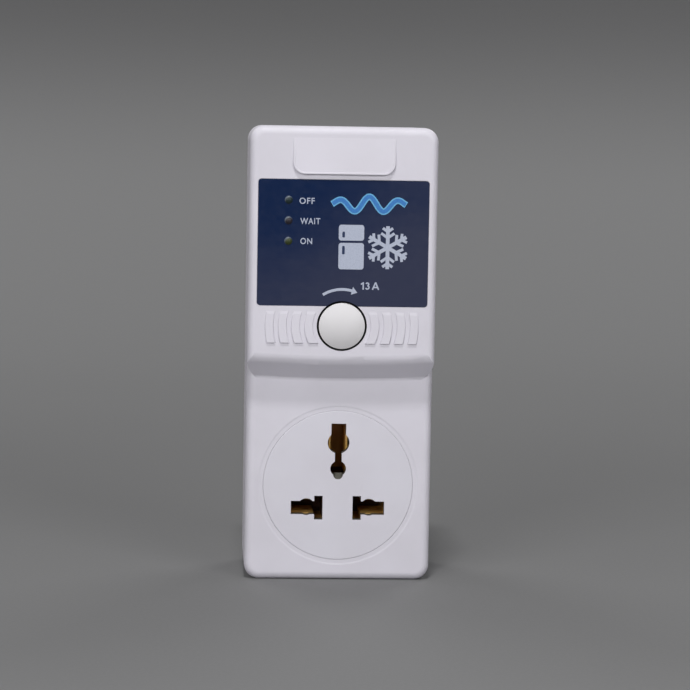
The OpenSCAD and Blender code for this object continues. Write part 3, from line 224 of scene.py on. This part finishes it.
def white_plastic(name, soft_edge, tint=WHITE, dust_and_shade=WHITE_DUSTY, gloss=0.46, shade=None):
    """Satin moulded plastic: fine spark-eroded grain, slow sink marks and a little handling dust.

    shade, if given, takes the shader and the colour, and returns the colour with painted shade added.
    """
    s = Shader(name)
    clouds = s.noise(55.0, 4.0)
    colour = s.mix(s.ramp(clouds, 0.35, 0.75), tint, dust_and_shade)
    if shade:
        colour = shade(s, colour)
    s.base(colour)
    s.roughness(s.ramp(s.noise(420.0, 3.0), 0.3, 0.7, gloss - 0.05, gloss + 0.09))
    s.set(IOR=1.49, Specular_IOR_Level=0.28, Subsurface_Weight=0.06)
    s.bsdf.inputs["Subsurface Radius"].default_value = (1.2, 1.1, 1.3)
    s.bsdf.inputs["Subsurface Scale"].default_value = 0.6 * MM
    grain = s.noise(3800.0, 2.0, 0.6)
    sink = s.noise(38.0, 1.0)
    height = s.math("ADD", s.math("MULTIPLY", grain, 0.012), s.math("MULTIPLY", sink, 0.15))
    s.bump(height, 0.10 * MM, 0.55, soft_edge)
    return s.material


def painted_guide_shade(s, colour):
    """Painted shade inside the button's guide: a near-black colour that makes the gap round the button a
    black line.
    """
    ring = s.distance((BUTTON_CENTRE.x, 0.0, BUTTON_CENTRE.z), FRONT_VIEW)
    guide_r = BUTTON_R + BUTTON_GAP
    # Painted shade: near black within the guide's radius, fading out just beyond it
    unshaded, dust_and_shade = 0.04 * MM, 0.01 * MM
    inside = s.ramp(ring, guide_r + unshaded, guide_r + dust_and_shade)
    return s.mix(inside, colour, (0.003, 0.003, 0.003))


def painted_skirt_shade(s, colour):
    """Painted shade on the skirt of the button below its rim, where it sits in the guide."""
    _, y, _ = s.axes()
    rim_y = BUTTON_LOW.y + BUTTON_DOME
    # Painted shade: the skirt turns near black from just behind the rim
    unshaded, dull = 0.02 * MM, 0.12 * MM
    return s.mix(s.ramp(y, rim_y + unshaded, rim_y + dull), colour, (0.006, 0.006, 0.007))


def painted_opening_shade(s, colour):
    """Painted shade on the walls of the outlet's openings, darker with depth."""
    _, y, _ = s.axes()
    unshaded, fully_shaded = 0.1 * MM, 0.7 * MM
    # Painted shade: darker from just behind the insert's front, inside its rim
    depth = s.ramp(y, INSERT_LOW.y + unshaded, INSERT_LOW.y + fully_shaded)
    ring = s.distance((INSERT_CENTRE.x, 0.0, INSERT_CENTRE.z), FRONT_VIEW)
    margin = 1.0 * MM
    inner = s.ramp(ring, INSERT_RIM_R - margin, INSERT_RIM_R - 2 * margin)
    return s.mix(s.math("MULTIPLY", depth, inner), colour, (0.115, 0.11, 0.095))


def label_film():
    """Back-printed navy film: glossy, with a painted reflection that makes it greyer to the right and below,
    tinted where it domes over a lamp, with a painted highlight crescent on each dome.
    """
    s = Shader("label_film")
    x, _, z = s.axes()
    # Painted reflection: lighter and greyer towards the right and the bottom, with random streaks
    across = s.ramp(x, LABEL_LOW.x, LABEL_HIGH.x)
    down = s.ramp(z, LABEL_HIGH.z, LABEL_LOW.z)
    reflection_lean = s.math("ADD", s.math("MULTIPLY", across, 0.6), s.math("MULTIPLY", down, 0.7))
    streaks = s.noise(260.0, 4.0, 0.6, (0.35, 1.0, 1.6))
    reflection_lean = s.math("ADD", reflection_lean, s.ramp(streaks, 0.3, 0.7, -0.05, 0.05))
    colour = s.mix(s.ramp(reflection_lean, 0.1, 1.1), (0.0036, 0.0155, 0.062), (0.035, 0.041, 0.080))
    polish = s.ramp(s.noise(600.0, 3.0), 0.3, 0.75, 0.20, 0.27)
    # Painted highlight: a pale crescent on each dome, widest on the side away from this shift
    highlight_shift_x, highlight_shift_z = 0.3 * MM, -0.42 * MM
    highlight_start, highlight_full = 1.05 * MM, 1.5 * MM
    edge = 0.1 * MM
    for name, tint in LAMP_TINTS.items():
        lamp_x, lamp_z = LEDS[name].x, LEDS[name].z
        spot = s.distance((lamp_x, 0.0, lamp_z), FRONT_VIEW)
        shifted = s.distance((lamp_x + highlight_shift_x, 0.0, lamp_z + highlight_shift_z), FRONT_VIEW)
        tint = s.mix(s.ramp(shifted, highlight_start, highlight_full), tint, LAMP_PAINTED_HIGHLIGHT)
        colour = s.mix(s.ramp(spot, LAMP_DOME_R + edge / 2, LAMP_DOME_R - 2 * edge), colour, tint)
        dull = s.ramp(spot, LAMP_DOME_R + edge, LAMP_DOME_R - edge, 0.0, 0.48)
        polish = s.math("MAXIMUM", polish, dull)
    s.base(colour)
    s.roughness(polish)
    s.set(IOR=1.5)
    s.bump(s.noise(85.0, 1.0, 0.5, (1.0, 1.0, 0.6)), 0.07 * MM, 0.6)
    return s.material


def ink(name, colour, worn):
    """Screen-printed ink: slightly uneven in cover, with a soft sheen."""
    s = Shader(name)
    cover = s.noise(2400.0, 4.0, 0.65)
    s.base(s.mix(s.ramp(cover, 0.35, 0.7), colour, worn))
    s.roughness(s.ramp(cover, 0.3, 0.7, 0.38, 0.52))
    s.bump(cover, 0.01 * MM, 0.4)
    return s.material


def brass(name, bright, tarnish, rough, brush=(1.0, 6.0, 1.0), metal=1.0, shade=None):
    """Brass with drawn or stamped brush lines and patches of tarnish.

    metal below one is brass under a dull film. shade works as in white_plastic.
    """
    s = Shader(name)
    patches = s.noise(210.0, 5.0, 0.6)
    colour = s.mix(s.ramp(patches, 0.42, 0.72), bright, tarnish)
    if shade:
        colour = shade(s, colour)
    s.base(colour)
    lines = s.noise(3000.0, 2.0, 0.5, brush)
    s.roughness(s.ramp(s.math("ADD", patches, s.math("MULTIPLY", lines, 0.4)), 0.4, 1.1, rough, rough + 0.22))
    s.set(Metallic=metal)
    s.bump(lines, 0.015 * MM, 0.5, 0.15 * MM)
    return s.material


def earth_painted_light(s, colour):
    """Earth contact: painted light makes it bright orange towards its top, and painted shade makes it duller
    and browner below.
    """
    _, _, z = s.axes()
    low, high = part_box("earth_contact")
    top = s.ramp(z, low.z + 0.45 * (high.z - low.z), high.z)
    return s.mix(top, s.mix(0.5, colour, (0.62, 0.34, 0.05)), (1.0, 0.60, 0.26))


def steel(name, bright, dull, rough):
    """Zinc or nickel plate: faint brush lines, cloudy plating."""
    s = Shader(name)
    clouds = s.noise(480.0, 4.0)
    s.base(s.mix(s.ramp(clouds, 0.35, 0.7), bright, dull))
    s.roughness(s.ramp(clouds, 0.3, 0.7, rough, rough + 0.15))
    s.set(Metallic=1.0)
    s.bump(s.noise(2600.0, 3.0), 0.01 * MM, 0.5, 0.12 * MM)
    return s.material


def dark_plastic(name, colour, worn, rough):
    """Moulded engineering plastic with a fine grain and paler handling marks."""
    s = Shader(name)
    clouds = s.noise(300.0, 5.0, 0.6)
    s.base(s.mix(s.ramp(clouds, 0.45, 0.8), colour, worn))
    s.roughness(s.ramp(clouds, 0.3, 0.7, rough - 0.06, rough + 0.08))
    s.bump(s.noise(3200.0, 2.0, 0.6), 0.02 * MM, 0.5, 0.15 * MM)
    return s.material


def lamp_lens(name, colour):
    """Diffused epoxy lens of an indicator."""
    s = Shader(name)
    milk = s.noise(700.0, 2.0)
    pale = tuple(min(1.0, c * 1.35 + 0.03) for c in colour)
    s.base(s.mix(s.ramp(milk, 0.3, 0.7), colour, pale))
    s.roughness(s.ramp(milk, 0.2, 0.8, 0.12, 0.2))
    s.set(IOR=1.54, Subsurface_Weight=0.35)
    s.bsdf.inputs["Subsurface Scale"].default_value = 0.8 * MM
    s.bump(milk, 0.01 * MM, 0.3)
    return s.material


def circuit_board():
    """Green solder mask over copper tracks, which show as paler raised lines."""
    s = Shader("circuit_board")
    brick = s.add("ShaderNodeTexBrick")
    brick.inputs["Scale"].default_value = 180.0
    brick.inputs["Mortar Size"].default_value = 0.035
    brick.inputs["Brick Width"].default_value = 0.9
    brick.inputs["Row Height"].default_value = 0.42
    brick.offset = 0.37
    turn = s.add("ShaderNodeMapping")
    turn.inputs["Rotation"].default_value = (math.radians(90), 0.0, 0.0)
    s.link(s.place, turn.inputs["Vector"])
    s.link(turn.outputs["Vector"], brick.inputs["Vector"])
    tracks = brick.outputs["Fac"]
    colour = s.mix(tracks, (0.012, 0.085, 0.032), (0.035, 0.17, 0.06))
    s.base(s.mix(s.ramp(s.noise(400.0, 4.0), 0.45, 0.8), colour, (0.03, 0.11, 0.05)))
    s.roughness(s.ramp(s.noise(1500.0, 2.0), 0.3, 0.7, 0.25, 0.4))
    s.bump(tracks, 0.035 * MM, 0.8)
    return s.material


def ceramic():
    """Glazed fuse tube."""
    s = Shader("fuse_ceramic")
    specks = s.noise(1800.0, 3.0)
    s.base(s.mix(s.ramp(specks, 0.55, 0.7), (0.78, 0.75, 0.68), (0.62, 0.58, 0.50)))
    s.roughness(s.ramp(specks, 0.3, 0.7, 0.18, 0.32))
    s.set(Coat_Weight=0.4, Coat_Roughness=0.08)
    s.bump(specks, 0.01 * MM, 0.4)
    return s.material


def wire_insulation(name, colour, stripe=None):
    """Flexible insulation with faint extrusion lines, and a spiral stripe if it has one."""
    s = Shader(name)
    clouds = s.noise(350.0, 3.0)
    shade = s.mix(s.ramp(clouds, 0.3, 0.8), colour, tuple(0.8 * c for c in colour))
    if stripe:
        wave = s.add("ShaderNodeTexWave", wave_type="BANDS", bands_direction="DIAGONAL")
        wave.inputs["Scale"].default_value = 55.0
        s.link(s.place, wave.inputs["Vector"])
        shade = s.mix(s.ramp(wave.outputs["Fac"], 0.45, 0.55), shade, stripe)
    s.base(shade)
    s.roughness(s.ramp(clouds, 0.3, 0.7, 0.34, 0.46))
    s.bump(s.noise(2200.0, 2.0), 0.015 * MM, 0.5)
    return s.material


def component_body(name, colour, dark, rough, coat=0.0):
    """Moulded or dipped component case with a slightly orange-peel skin."""
    s = Shader(name)
    skin = s.noise(900.0, 3.0)
    s.base(s.mix(s.ramp(skin, 0.3, 0.8), colour, dark))
    s.roughness(s.ramp(skin, 0.3, 0.7, rough - 0.05, rough + 0.07))
    s.set(Coat_Weight=coat, Coat_Roughness=0.1)
    s.bump(skin, 0.03 * MM, 0.5, 0.25 * MM)
    return s.material


def resistor_skin():
    """Tan lacquer with colour rings along the body."""
    s = Shader("resistor_skin")
    rings = s.add("ShaderNodeTexWave", wave_type="BANDS", bands_direction="X")
    rings.inputs["Scale"].default_value = 190.0
    s.link(s.place, rings.inputs["Vector"])
    lacquer = s.mix(s.ramp(s.noise(800.0, 3.0), 0.3, 0.7), (0.62, 0.46, 0.27), (0.52, 0.37, 0.20))
    s.base(s.mix(s.ramp(rings.outputs["Fac"], 0.80, 0.86), lacquer, (0.18, 0.05, 0.03)))
    s.roughness(s.ramp(s.noise(1200.0, 2.0), 0.3, 0.7, 0.22, 0.35))
    s.bump(s.noise(900.0, 2.0), 0.02 * MM, 0.5)
    return s.material


def dress_nodes():
    """Gives each CAD node that stays its finish."""
    shell = white_plastic("white_shell", 0.22 * MM, shade=painted_guide_shade)
    rear = white_plastic("white_rear", 0.18 * MM)
    insert_tints = (0.73, 0.715, 0.785), (0.70, 0.68, 0.745)
    insert = white_plastic("white_insert", 0.12 * MM, *insert_tints, 0.40, painted_opening_shade)
    button_tints = (0.78, 0.765, 0.78), (0.75, 0.735, 0.755)
    button = white_plastic("white_button", 0.10 * MM, *button_tints, 0.40, painted_skirt_shade)
    upright = (1.0, 1.0, 5.0)
    contact = brass("contact_brass", (0.85, 0.56, 0.16), (0.55, 0.32, 0.10), 0.36, upright, 0.3)
    earth = brass("earth_brass", (0.90, 0.56, 0.15), (0.62, 0.36, 0.10), 0.40, upright, 0.1, earth_painted_light)
    pin = brass("pin_brass", (0.78, 0.56, 0.24), (0.55, 0.36, 0.14), 0.22, (6.0, 1.0, 6.0))
    plated = steel("plated_steel", (0.62, 0.62, 0.63), (0.46, 0.46, 0.48), 0.26)
    carrier = dark_plastic("carrier_plastic", (0.20, 0.085, 0.045), (0.24, 0.115, 0.065), 0.5)
    black = dark_plastic("black_plastic", (0.012, 0.012, 0.013), (0.03, 0.03, 0.032), 0.45)
    sleeve = dark_plastic("sleeve_plastic", (0.010, 0.010, 0.011), (0.028, 0.028, 0.03), 0.4)
    brown = wire_insulation("brown_wire", (0.16, 0.06, 0.03))
    blue = wire_insulation("blue_wire", (0.03, 0.12, 0.42))
    green = wire_insulation("earth_wire_skin", (0.04, 0.28, 0.05), (0.65, 0.60, 0.05))
    smoothing_sleeve = component_body("smoothing_sleeve", (0.015, 0.016, 0.03), (0.03, 0.03, 0.05), 0.3, 0.2)
    finishes = {
        shell: ["front_cover"],
        rear: ["rear_cover", "fuse_drawer"],
        insert: ["socket_insert"],
        button: ["bypass_button"],
        label_film(): ["fascia_label"],
        contact: ["live_contact", "neutral_contact", "line_fuse_clip", "load_fuse_clip", "pin_link"],
        earth: ["earth_contact"],
        pin: ["live_pin", "neutral_pin", "earth_pin"],
        plated: ["case_screws", "carrier_screws", "bridge_screws", "pcb_screws"],
        steel("fuse_plate", (0.66, 0.65, 0.61), (0.50, 0.48, 0.44), 0.2): ["fuse_caps"],
        carrier: ["contact_carrier", "pin_bridge"],
        black: ["switch_body", "led_holder", "controller_chip", "rectifier"],
        sleeve: ["live_pin_sleeve", "neutral_pin_sleeve"],
        ceramic(): ["fuse_tube"],
        dark_plastic("plunger_plastic", (0.55, 0.45, 0.32), (0.45, 0.36, 0.25), 0.45): ["switch_plunger"],
        lamp_lens("red_lens", (0.42, 0.05, 0.04)): ["off_led"],
        lamp_lens("yellow_lens", (0.60, 0.38, 0.05)): ["wait_led"],
        lamp_lens("green_lens", (0.14, 0.34, 0.10)): ["on_led"],
        circuit_board(): ["main_pcb"],
        component_body("relay_case", (0.025, 0.085, 0.32), (0.02, 0.065, 0.25), 0.4): ["relay"],
        component_body("dropper_case", (0.66, 0.42, 0.05), (0.55, 0.33, 0.04), 0.35): ["dropper_capacitor"],
        smoothing_sleeve: ["smoothing_capacitor"],
        component_body("varistor_coat", (0.02, 0.10, 0.36), (0.015, 0.075, 0.28), 0.3, 0.3): ["varistor"],
        resistor_skin(): ["resistors"],
        brown: ["live_wire", "load_wire"],
        blue: ["neutral_wire", "tap_wire"],
        green: ["earth_wire"],
    }
    for material, names in finishes.items():
        for name in names:
            slots = NODES[name].material_slots
            for slot in slots:
                slot.material = material
            if not slots:
                NODES[name].data.materials.append(material)


# Printed marks on the label

def printed(name, outlines, material, coats=1):
    """Flat ink from closed outlines in X and Z, each a list of points, laid on the film's face.

    Each outline lies a hair higher than the one before, so that none share a plane where they cross.
    """
    mesh = bmesh.new()
    for number, outline in enumerate(outlines):
        top = FILM_Y - INK * (coats + number / len(outlines) / 2)
        front = [mesh.verts.new((x, top, z)) for x, z in outline]
        back = [mesh.verts.new((x, FILM_Y + INK, z)) for x, z in outline]
        mesh.faces.new(front)
        mesh.faces.new(back[::-1])
        for i in range(len(front)):
            j = (i + 1) % len(front)
            mesh.faces.new((front[j], front[i], back[i], back[j]))
    bmesh.ops.recalc_face_normals(mesh, faces=mesh.faces)
    data = bpy.data.meshes.new(name)
    mesh.to_mesh(data)
    mesh.free()
    return printed_object(name, data, material)


def printed_object(name, data, material):
    """Makes a piece of the ink's mesh, which rides on the casing with the film."""
    data.materials.clear()
    data.materials.append(material)
    piece = bpy.data.objects.new(name, data)
    bpy.context.scene.collection.objects.link(piece)
    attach(piece, "casing")
    return piece


def stroke(points, width):
    """Outlines of a line of constant width: one four-sided patch a step."""
    last = len(points) - 1
    half = width / 2
    left, right = [], []
    for i, (x, z) in enumerate(points):
        before, after = points[max(i - 1, 0)], points[min(i + 1, last)]
        dx, dz = after[0] - before[0], after[1] - before[1]
        size = math.hypot(dx, dz)
        across_x, across_z = -dz / size, dx / size
        left.append((x + across_x * half, z + across_z * half))
        right.append((x - across_x * half, z - across_z * half))
    return [[left[i], right[i], right[i + 1], left[i + 1]] for i in range(last)]


def arc(cx, cz, r, start, end, steps):
    """Points on a circle, from one angle to another in degrees."""
    angles = [math.radians(start + (end - start) * i / steps) for i in range(steps + 1)]
    return [(cx + r * math.cos(a), cz + r * math.sin(a)) for a in angles]


def rounded(x0, z0, x1, z1, r):
    """Corner points of a rectangle with round corners."""
    steps = 6
    corners = ((x1 - r, z1 - r, 0), (x0 + r, z1 - r, 90), (x0 + r, z0 + r, 180), (x1 - r, z0 + r, 270))
    return [p for cx, cz, a in corners for p in arc(cx, cz, r, a, a + 90, steps)]


def word(text, left, base, width, height, material):
    """Generic lettering, fitted to a width and a height and turned to face the front."""
    bold, spacing, thickness = 0.012, 1.12, 0.01
    curve = bpy.data.curves.new("print_" + text.lower(), "FONT")
    curve.body = text
    curve.offset = bold
    curve.space_character = spacing
    curve.extrude = thickness
    curve.resolution_u = 4
    source = bpy.data.objects.new("word_source", curve)
    bpy.context.scene.collection.objects.link(source)
    bpy.context.view_layer.update()
    data = bpy.data.meshes.new_from_object(source)
    bpy.data.objects.remove(source)
    low = Vector((min(v.co[i] for v in data.vertices) for i in range(3)))
    high = Vector((max(v.co[i] for v in data.vertices) for i in range(3)))
    for v in data.vertices:
        x = left + (v.co.x - low.x) / (high.x - low.x) * width
        z = base + (v.co.y - low.y) / (high.y - low.y) * height
        y = FILM_Y - INK if v.co.z > 0 else FILM_Y + INK
        v.co = (x, y, z)
    return printed_object(curve.name, data, material)


def lamp_words(material):
    """The status word beside each lamp."""
    for lamp, (text, left, width, drop) in LAMP_WORDS.items():
        word(text, left, LEDS[lamp].z - drop, width, WORD_HEIGHT, material)


def wave_mark(edge, fill):
    """Mains wave that swells in its middle, with a pale edge round a deeper blue."""
    left, right = -3.6 * MM, 19.2 * MM
    middle = 117.8 * MM
    height = 2.4 * MM
    cycles = 2.5
    end_share = 0.35
    steps = 120
    points = []
    for i in range(steps + 1):
        t = i / steps
        swell = end_share + (1 - end_share) * math.sin(math.pi * t)
        wave = math.sin(2 * math.pi * cycles * t)
        points.append((left + t * (right - left), middle + height * swell * wave))
    edge_pen, fill_pen = 2.0 * MM, 1.2 * MM
    printed("print_wave_edge", stroke(points, edge_pen), edge)
    printed("print_wave", stroke(points[1:-1], fill_pen), fill, 2)


def cooler_mark(material, gap_material):
    """A refrigerator with its two doors and their handles."""
    base, top = 97.8 * MM, 111.5 * MM
    left, right = -1.4 * MM, 6.4 * MM
    split_share = 0.62
    split = base + split_share * (top - base)
    seam = 0.35 * MM
    door_r = 0.8 * MM
    doors = [
        rounded(left, base, right, split - seam, door_r),
        rounded(left, split + seam, right, top, door_r),
    ]
    printed("print_cooler", doors, material)
    grip_left, grip_w, grip_r = left + 1.1 * MM, 0.8 * MM, 0.3 * MM
    grip_gap, lower_grip, upper_grip = 1.3 * MM, 2.6 * MM, 1.8 * MM
    grips = [
        rounded(grip_left, split - grip_gap - lower_grip, grip_left + grip_w, split - grip_gap, grip_r),
        rounded(grip_left, split + grip_gap, grip_left + grip_w, split + grip_gap + upper_grip, grip_r),
    ]
    printed("print_cooler_grips", grips, gap_material, 2)


def snow_mark(material):
    """A snowflake with two pairs of twigs on each arm."""
    centre = (13.7 * MM, 104.65 * MM)
    reach = 6.6 * MM
    arm_pen, twig_pen = 1.15 * MM, 0.85 * MM
    arm_count = 6
    twig_lean = 55
    twigs = ((0.45, 2.5 * MM), (0.74, 1.9 * MM))
    arms = []
    for k in range(arm_count):
        a = math.radians(90 + 360 / arm_count * k)
        along = (math.cos(a), math.sin(a))
        tip = (centre[0] + reach * along[0], centre[1] + reach * along[1])
        arms += stroke([centre, tip], arm_pen)
        for share, length in twigs:
            root = (centre[0] + share * reach * along[0], centre[1] + share * reach * along[1])
            for turn in (-twig_lean, twig_lean):
                b = a + math.radians(turn)
                end = (root[0] + length * math.cos(b), root[1] + length * math.sin(b))
                arms += stroke([root, end], twig_pen)
    printed("print_snowflake", arms, material)


def button_arc(material):
    """Arc with an arrow head over the button."""
    centre = (BUTTON_CENTRE.x, BUTTON_CENTRE.z)
    r, pen, half = 11.3 * MM, 0.85 * MM, 1.25 * MM
    tail_turn, neck_turn, root_turn, tip_turn = 122, 74, 75, 66
    printed("print_arc", stroke(arc(*centre, r, tail_turn, neck_turn, 24), pen), material)
    head = []
    for turn, radius in ((tip_turn, r), (root_turn, r + half), (root_turn, r - half)):
        a = math.radians(turn)
        head.append((centre[0] + radius * math.cos(a), centre[1] + radius * math.sin(a)))
    printed("print_arrow", [head], material)


def rating_mark(material):
    """The generic rating 13 A."""
    base, height, pen = 91.6 * MM, 2.3 * MM, 0.42 * MM
    one, three, letter = 6.4 * MM, 7.65 * MM, 10.2 * MM
    flag_w, flag_z = 0.75 * MM, base + 1.65 * MM
    upper_r, lower_r = 0.42 * MM, 0.52 * MM
    foot_w, bar_w, bar_z = 0.95 * MM, 0.6 * MM, base + 0.72 * MM
    waist = base + pen / 2 + 2 * lower_r
    lines = stroke([(one - flag_w, flag_z), (one, base + height - pen / 2)], pen)
    lines += stroke([(one, base), (one, base + height)], pen)
    lines += stroke(arc(three, waist + upper_r, upper_r, 160, -90, 12), pen)
    lines += stroke(arc(three, waist - lower_r, lower_r, 90, -160, 12), pen)
    for side in (-1, 1):
        lines += stroke([(letter + side * foot_w, base), (letter, base + height)], pen)
    lines += stroke([(letter - bar_w, bar_z), (letter + bar_w, bar_z)], pen)
    printed("print_rating", lines, material)


def print_label():
    """Every mark on the film, each in its ink."""
    white = ink("white_ink", (0.50, 0.54, 0.66), (0.42, 0.46, 0.58))
    pale_cyan = ink("pale_cyan_ink", (0.16, 0.46, 0.74), (0.11, 0.38, 0.66))
    blue = ink("blue_ink", (0.045, 0.22, 0.58), (0.035, 0.17, 0.48))
    navy = ink("navy_ink", (0.010, 0.026, 0.090), (0.014, 0.03, 0.085))
    lamp_words(white)
    wave_mark(pale_cyan, blue)
    cooler_mark(white, navy)
    snow_mark(white)
    button_arc(white)
    rating_mark(white)


# The return spring

def return_spring():
    """Coil that stands for the CAD spring."""
    low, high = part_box("button_spring")
    wire = 0.3 * MM
    radius = (high.x - low.x) / 2 - wire
    turns, steps_a_turn, sides = 6, 28, 10
    steps = turns * steps_a_turn
    start, end = low.y + wire, high.y - wire
    centre_x, centre_z = (low.x + high.x) / 2, (low.z + high.z) / 2
    mesh = bmesh.new()
    rings = []
    for i in range(steps + 1):
        a = 2 * math.pi * turns * i / steps
        y = start + (end - start) * i / steps
        ring = []
        for j in range(sides):
            b = 2 * math.pi * j / sides
            r = radius + wire * math.cos(b)
            place = (centre_x + r * math.cos(a), y + wire * math.sin(b), centre_z + r * math.sin(a))
            ring.append(mesh.verts.new(place))
        rings.append(ring)
    for a, b in zip(rings, rings[1:]):
        for j in range(sides):
            k = (j + 1) % sides
            mesh.faces.new((a[j], a[k], b[k], b[j])).smooth = True
    mesh.faces.new(rings[0][::-1])
    mesh.faces.new(rings[-1])
    bmesh.ops.recalc_face_normals(mesh, faces=mesh.faces)
    data = bpy.data.meshes.new("return_spring")
    mesh.to_mesh(data)
    mesh.free()
    data.materials.append(steel("spring_steel", (0.50, 0.51, 0.53), (0.36, 0.37, 0.39), 0.22))
    piece = bpy.data.objects.new("return_spring", data)
    bpy.context.scene.collection.objects.link(piece)
    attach(piece, "casing")
    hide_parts("button_spring")
    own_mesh(piece)


# Floor, lights and camera

def backdrop():
    """Plain floor that sweeps up behind the object, with painted light that makes it paler with distance and
    painted shade that makes it darker up the wall.
    """
    width = 3.0
    near, bend_start, bend_r, top = -1.6, 0.55, 0.5, 1.6
    bend_steps = 15
    profile = [(near, 0.0), (bend_start, 0.0)]
    for k in range(1, bend_steps + 1):
        a = math.radians(90 * k / bend_steps)
        profile.append((bend_start + bend_r * math.sin(a), bend_r - bend_r * math.cos(a)))
    profile.append((bend_start + bend_r, top))
    mesh = bmesh.new()
    rows = [[mesh.verts.new((x, y, z)) for x in (-width / 2, width / 2)] for y, z in profile]
    for a, b in zip(rows, rows[1:]):
        mesh.faces.new((a[0], a[1], b[1], b[0])).smooth = True
    data = bpy.data.meshes.new("backdrop")
    mesh.to_mesh(data)
    mesh.free()
    s = Shader("backdrop_paper")
    _, y, z = s.axes()
    far_start, far_full = 0.1, 0.9
    wall_start, wall_full = 0.09, 0.25
    paper = s.mix(s.ramp(s.noise(3.0, 3.0), 0.3, 0.7), (0.17, 0.17, 0.172), (0.175, 0.175, 0.177))
    # Painted light: paler further back on the floor
    paper = s.mix(s.ramp(y, far_start, far_full), paper, (0.24, 0.24, 0.242))
    # Painted shade: darker up the wall
    s.base(s.mix(s.ramp(z, wall_start, wall_full), paper, (0.12, 0.12, 0.122)))
    s.roughness(s.ramp(s.noise(900.0, 2.0), 0.3, 0.7, 0.72, 0.78))
    data.materials.append(s.material)
    sweep = bpy.data.objects.new("backdrop", data)
    bpy.context.scene.collection.objects.link(sweep)


def area_light(name, place, target, size, watts):
    """Soft rectangular lamp that faces its target."""
    data = bpy.data.lights.new(name, "AREA")
    data.shape = "RECTANGLE"
    data.size, data.size_y = size
    data.energy = watts
    light = bpy.data.objects.new(name, data)
    light.location = place
    light.rotation_euler = (Vector(target) - Vector(place)).to_track_quat("-Z", "Y").to_euler()
    bpy.context.scene.collection.objects.link(light)


def lights():
    """A small lamp high in front, broad low ones, two behind for the back, and the wall's own."""
    middle = (0.0, 0.0, 0.09)
    area_light("key_high", (-0.05, -0.42, 1.0), middle, (0.09, 0.09), 4.4)
    area_light("soft_left", (-0.48, -0.83, 0.45), middle, (0.45, 0.35), 3.15)
    area_light("soft_right", (0.48, -0.83, 0.45), middle, (0.45, 0.35), 3.05)
    area_light("front_fill", (-0.35, -0.92, 0.25), middle, (0.25, 0.25), 0.7)
    area_light("back_left", (-0.55, 0.72, 0.75), middle, (0.5, 0.4), 2.6)
    area_light("back_right", (0.55, 0.72, 0.75), middle, (0.5, 0.4), 2.6)
    area_light("wall_wash", (0.0, 0.45, 0.55), (0.0, 1.05, 0.10), (1.6, 0.2), 0.6)
    world = bpy.data.worlds.new("studio")
    world.use_nodes = True
    sky = world.node_tree.nodes["Background"]
    sky.inputs["Color"].default_value = (0.55, 0.55, 0.57, 1.0)
    sky.inputs["Strength"].default_value = 0.11
    bpy.context.scene.world = world


def camera():
    """Camera at the photograph's own place, turn and roll."""
    level = math.cos(CAMERA_PITCH)
    forward = Vector((math.sin(CAMERA_YAW) * level, math.cos(CAMERA_YAW) * level, -math.sin(CAMERA_PITCH)))
    right = forward.cross(Vector((0, 0, 1))).normalized()
    up = right.cross(forward)
    c, s = math.cos(CAMERA_ROLL), math.sin(CAMERA_ROLL)
    rolled_right = c * right + s * up
    rolled_up = -s * right + c * up
    data = bpy.data.cameras.new("photo_camera")
    data.sensor_width = SENSOR_MM
    data.lens = FOCAL_PIXELS / FRAME_PIXELS * SENSOR_MM
    data.clip_start = 0.02
    view = bpy.data.objects.new("photo_camera", data)
    place = Vector((CAMERA_X, INSERT_LOW.y - CAMERA_BEFORE_FACE, CAMERA_Z))
    turn = Matrix((rolled_right, rolled_up, -forward)).transposed().to_4x4()
    view.matrix_world = Matrix.Translation(place) @ turn
    bpy.context.scene.collection.objects.link(view)
    bpy.context.scene.camera = view


dress_nodes()
print_label()
return_spring()
backdrop()
lights()
camera()
bpy.context.scene.view_settings.view_transform = "Standard"
bpy.context.view_layer.update()
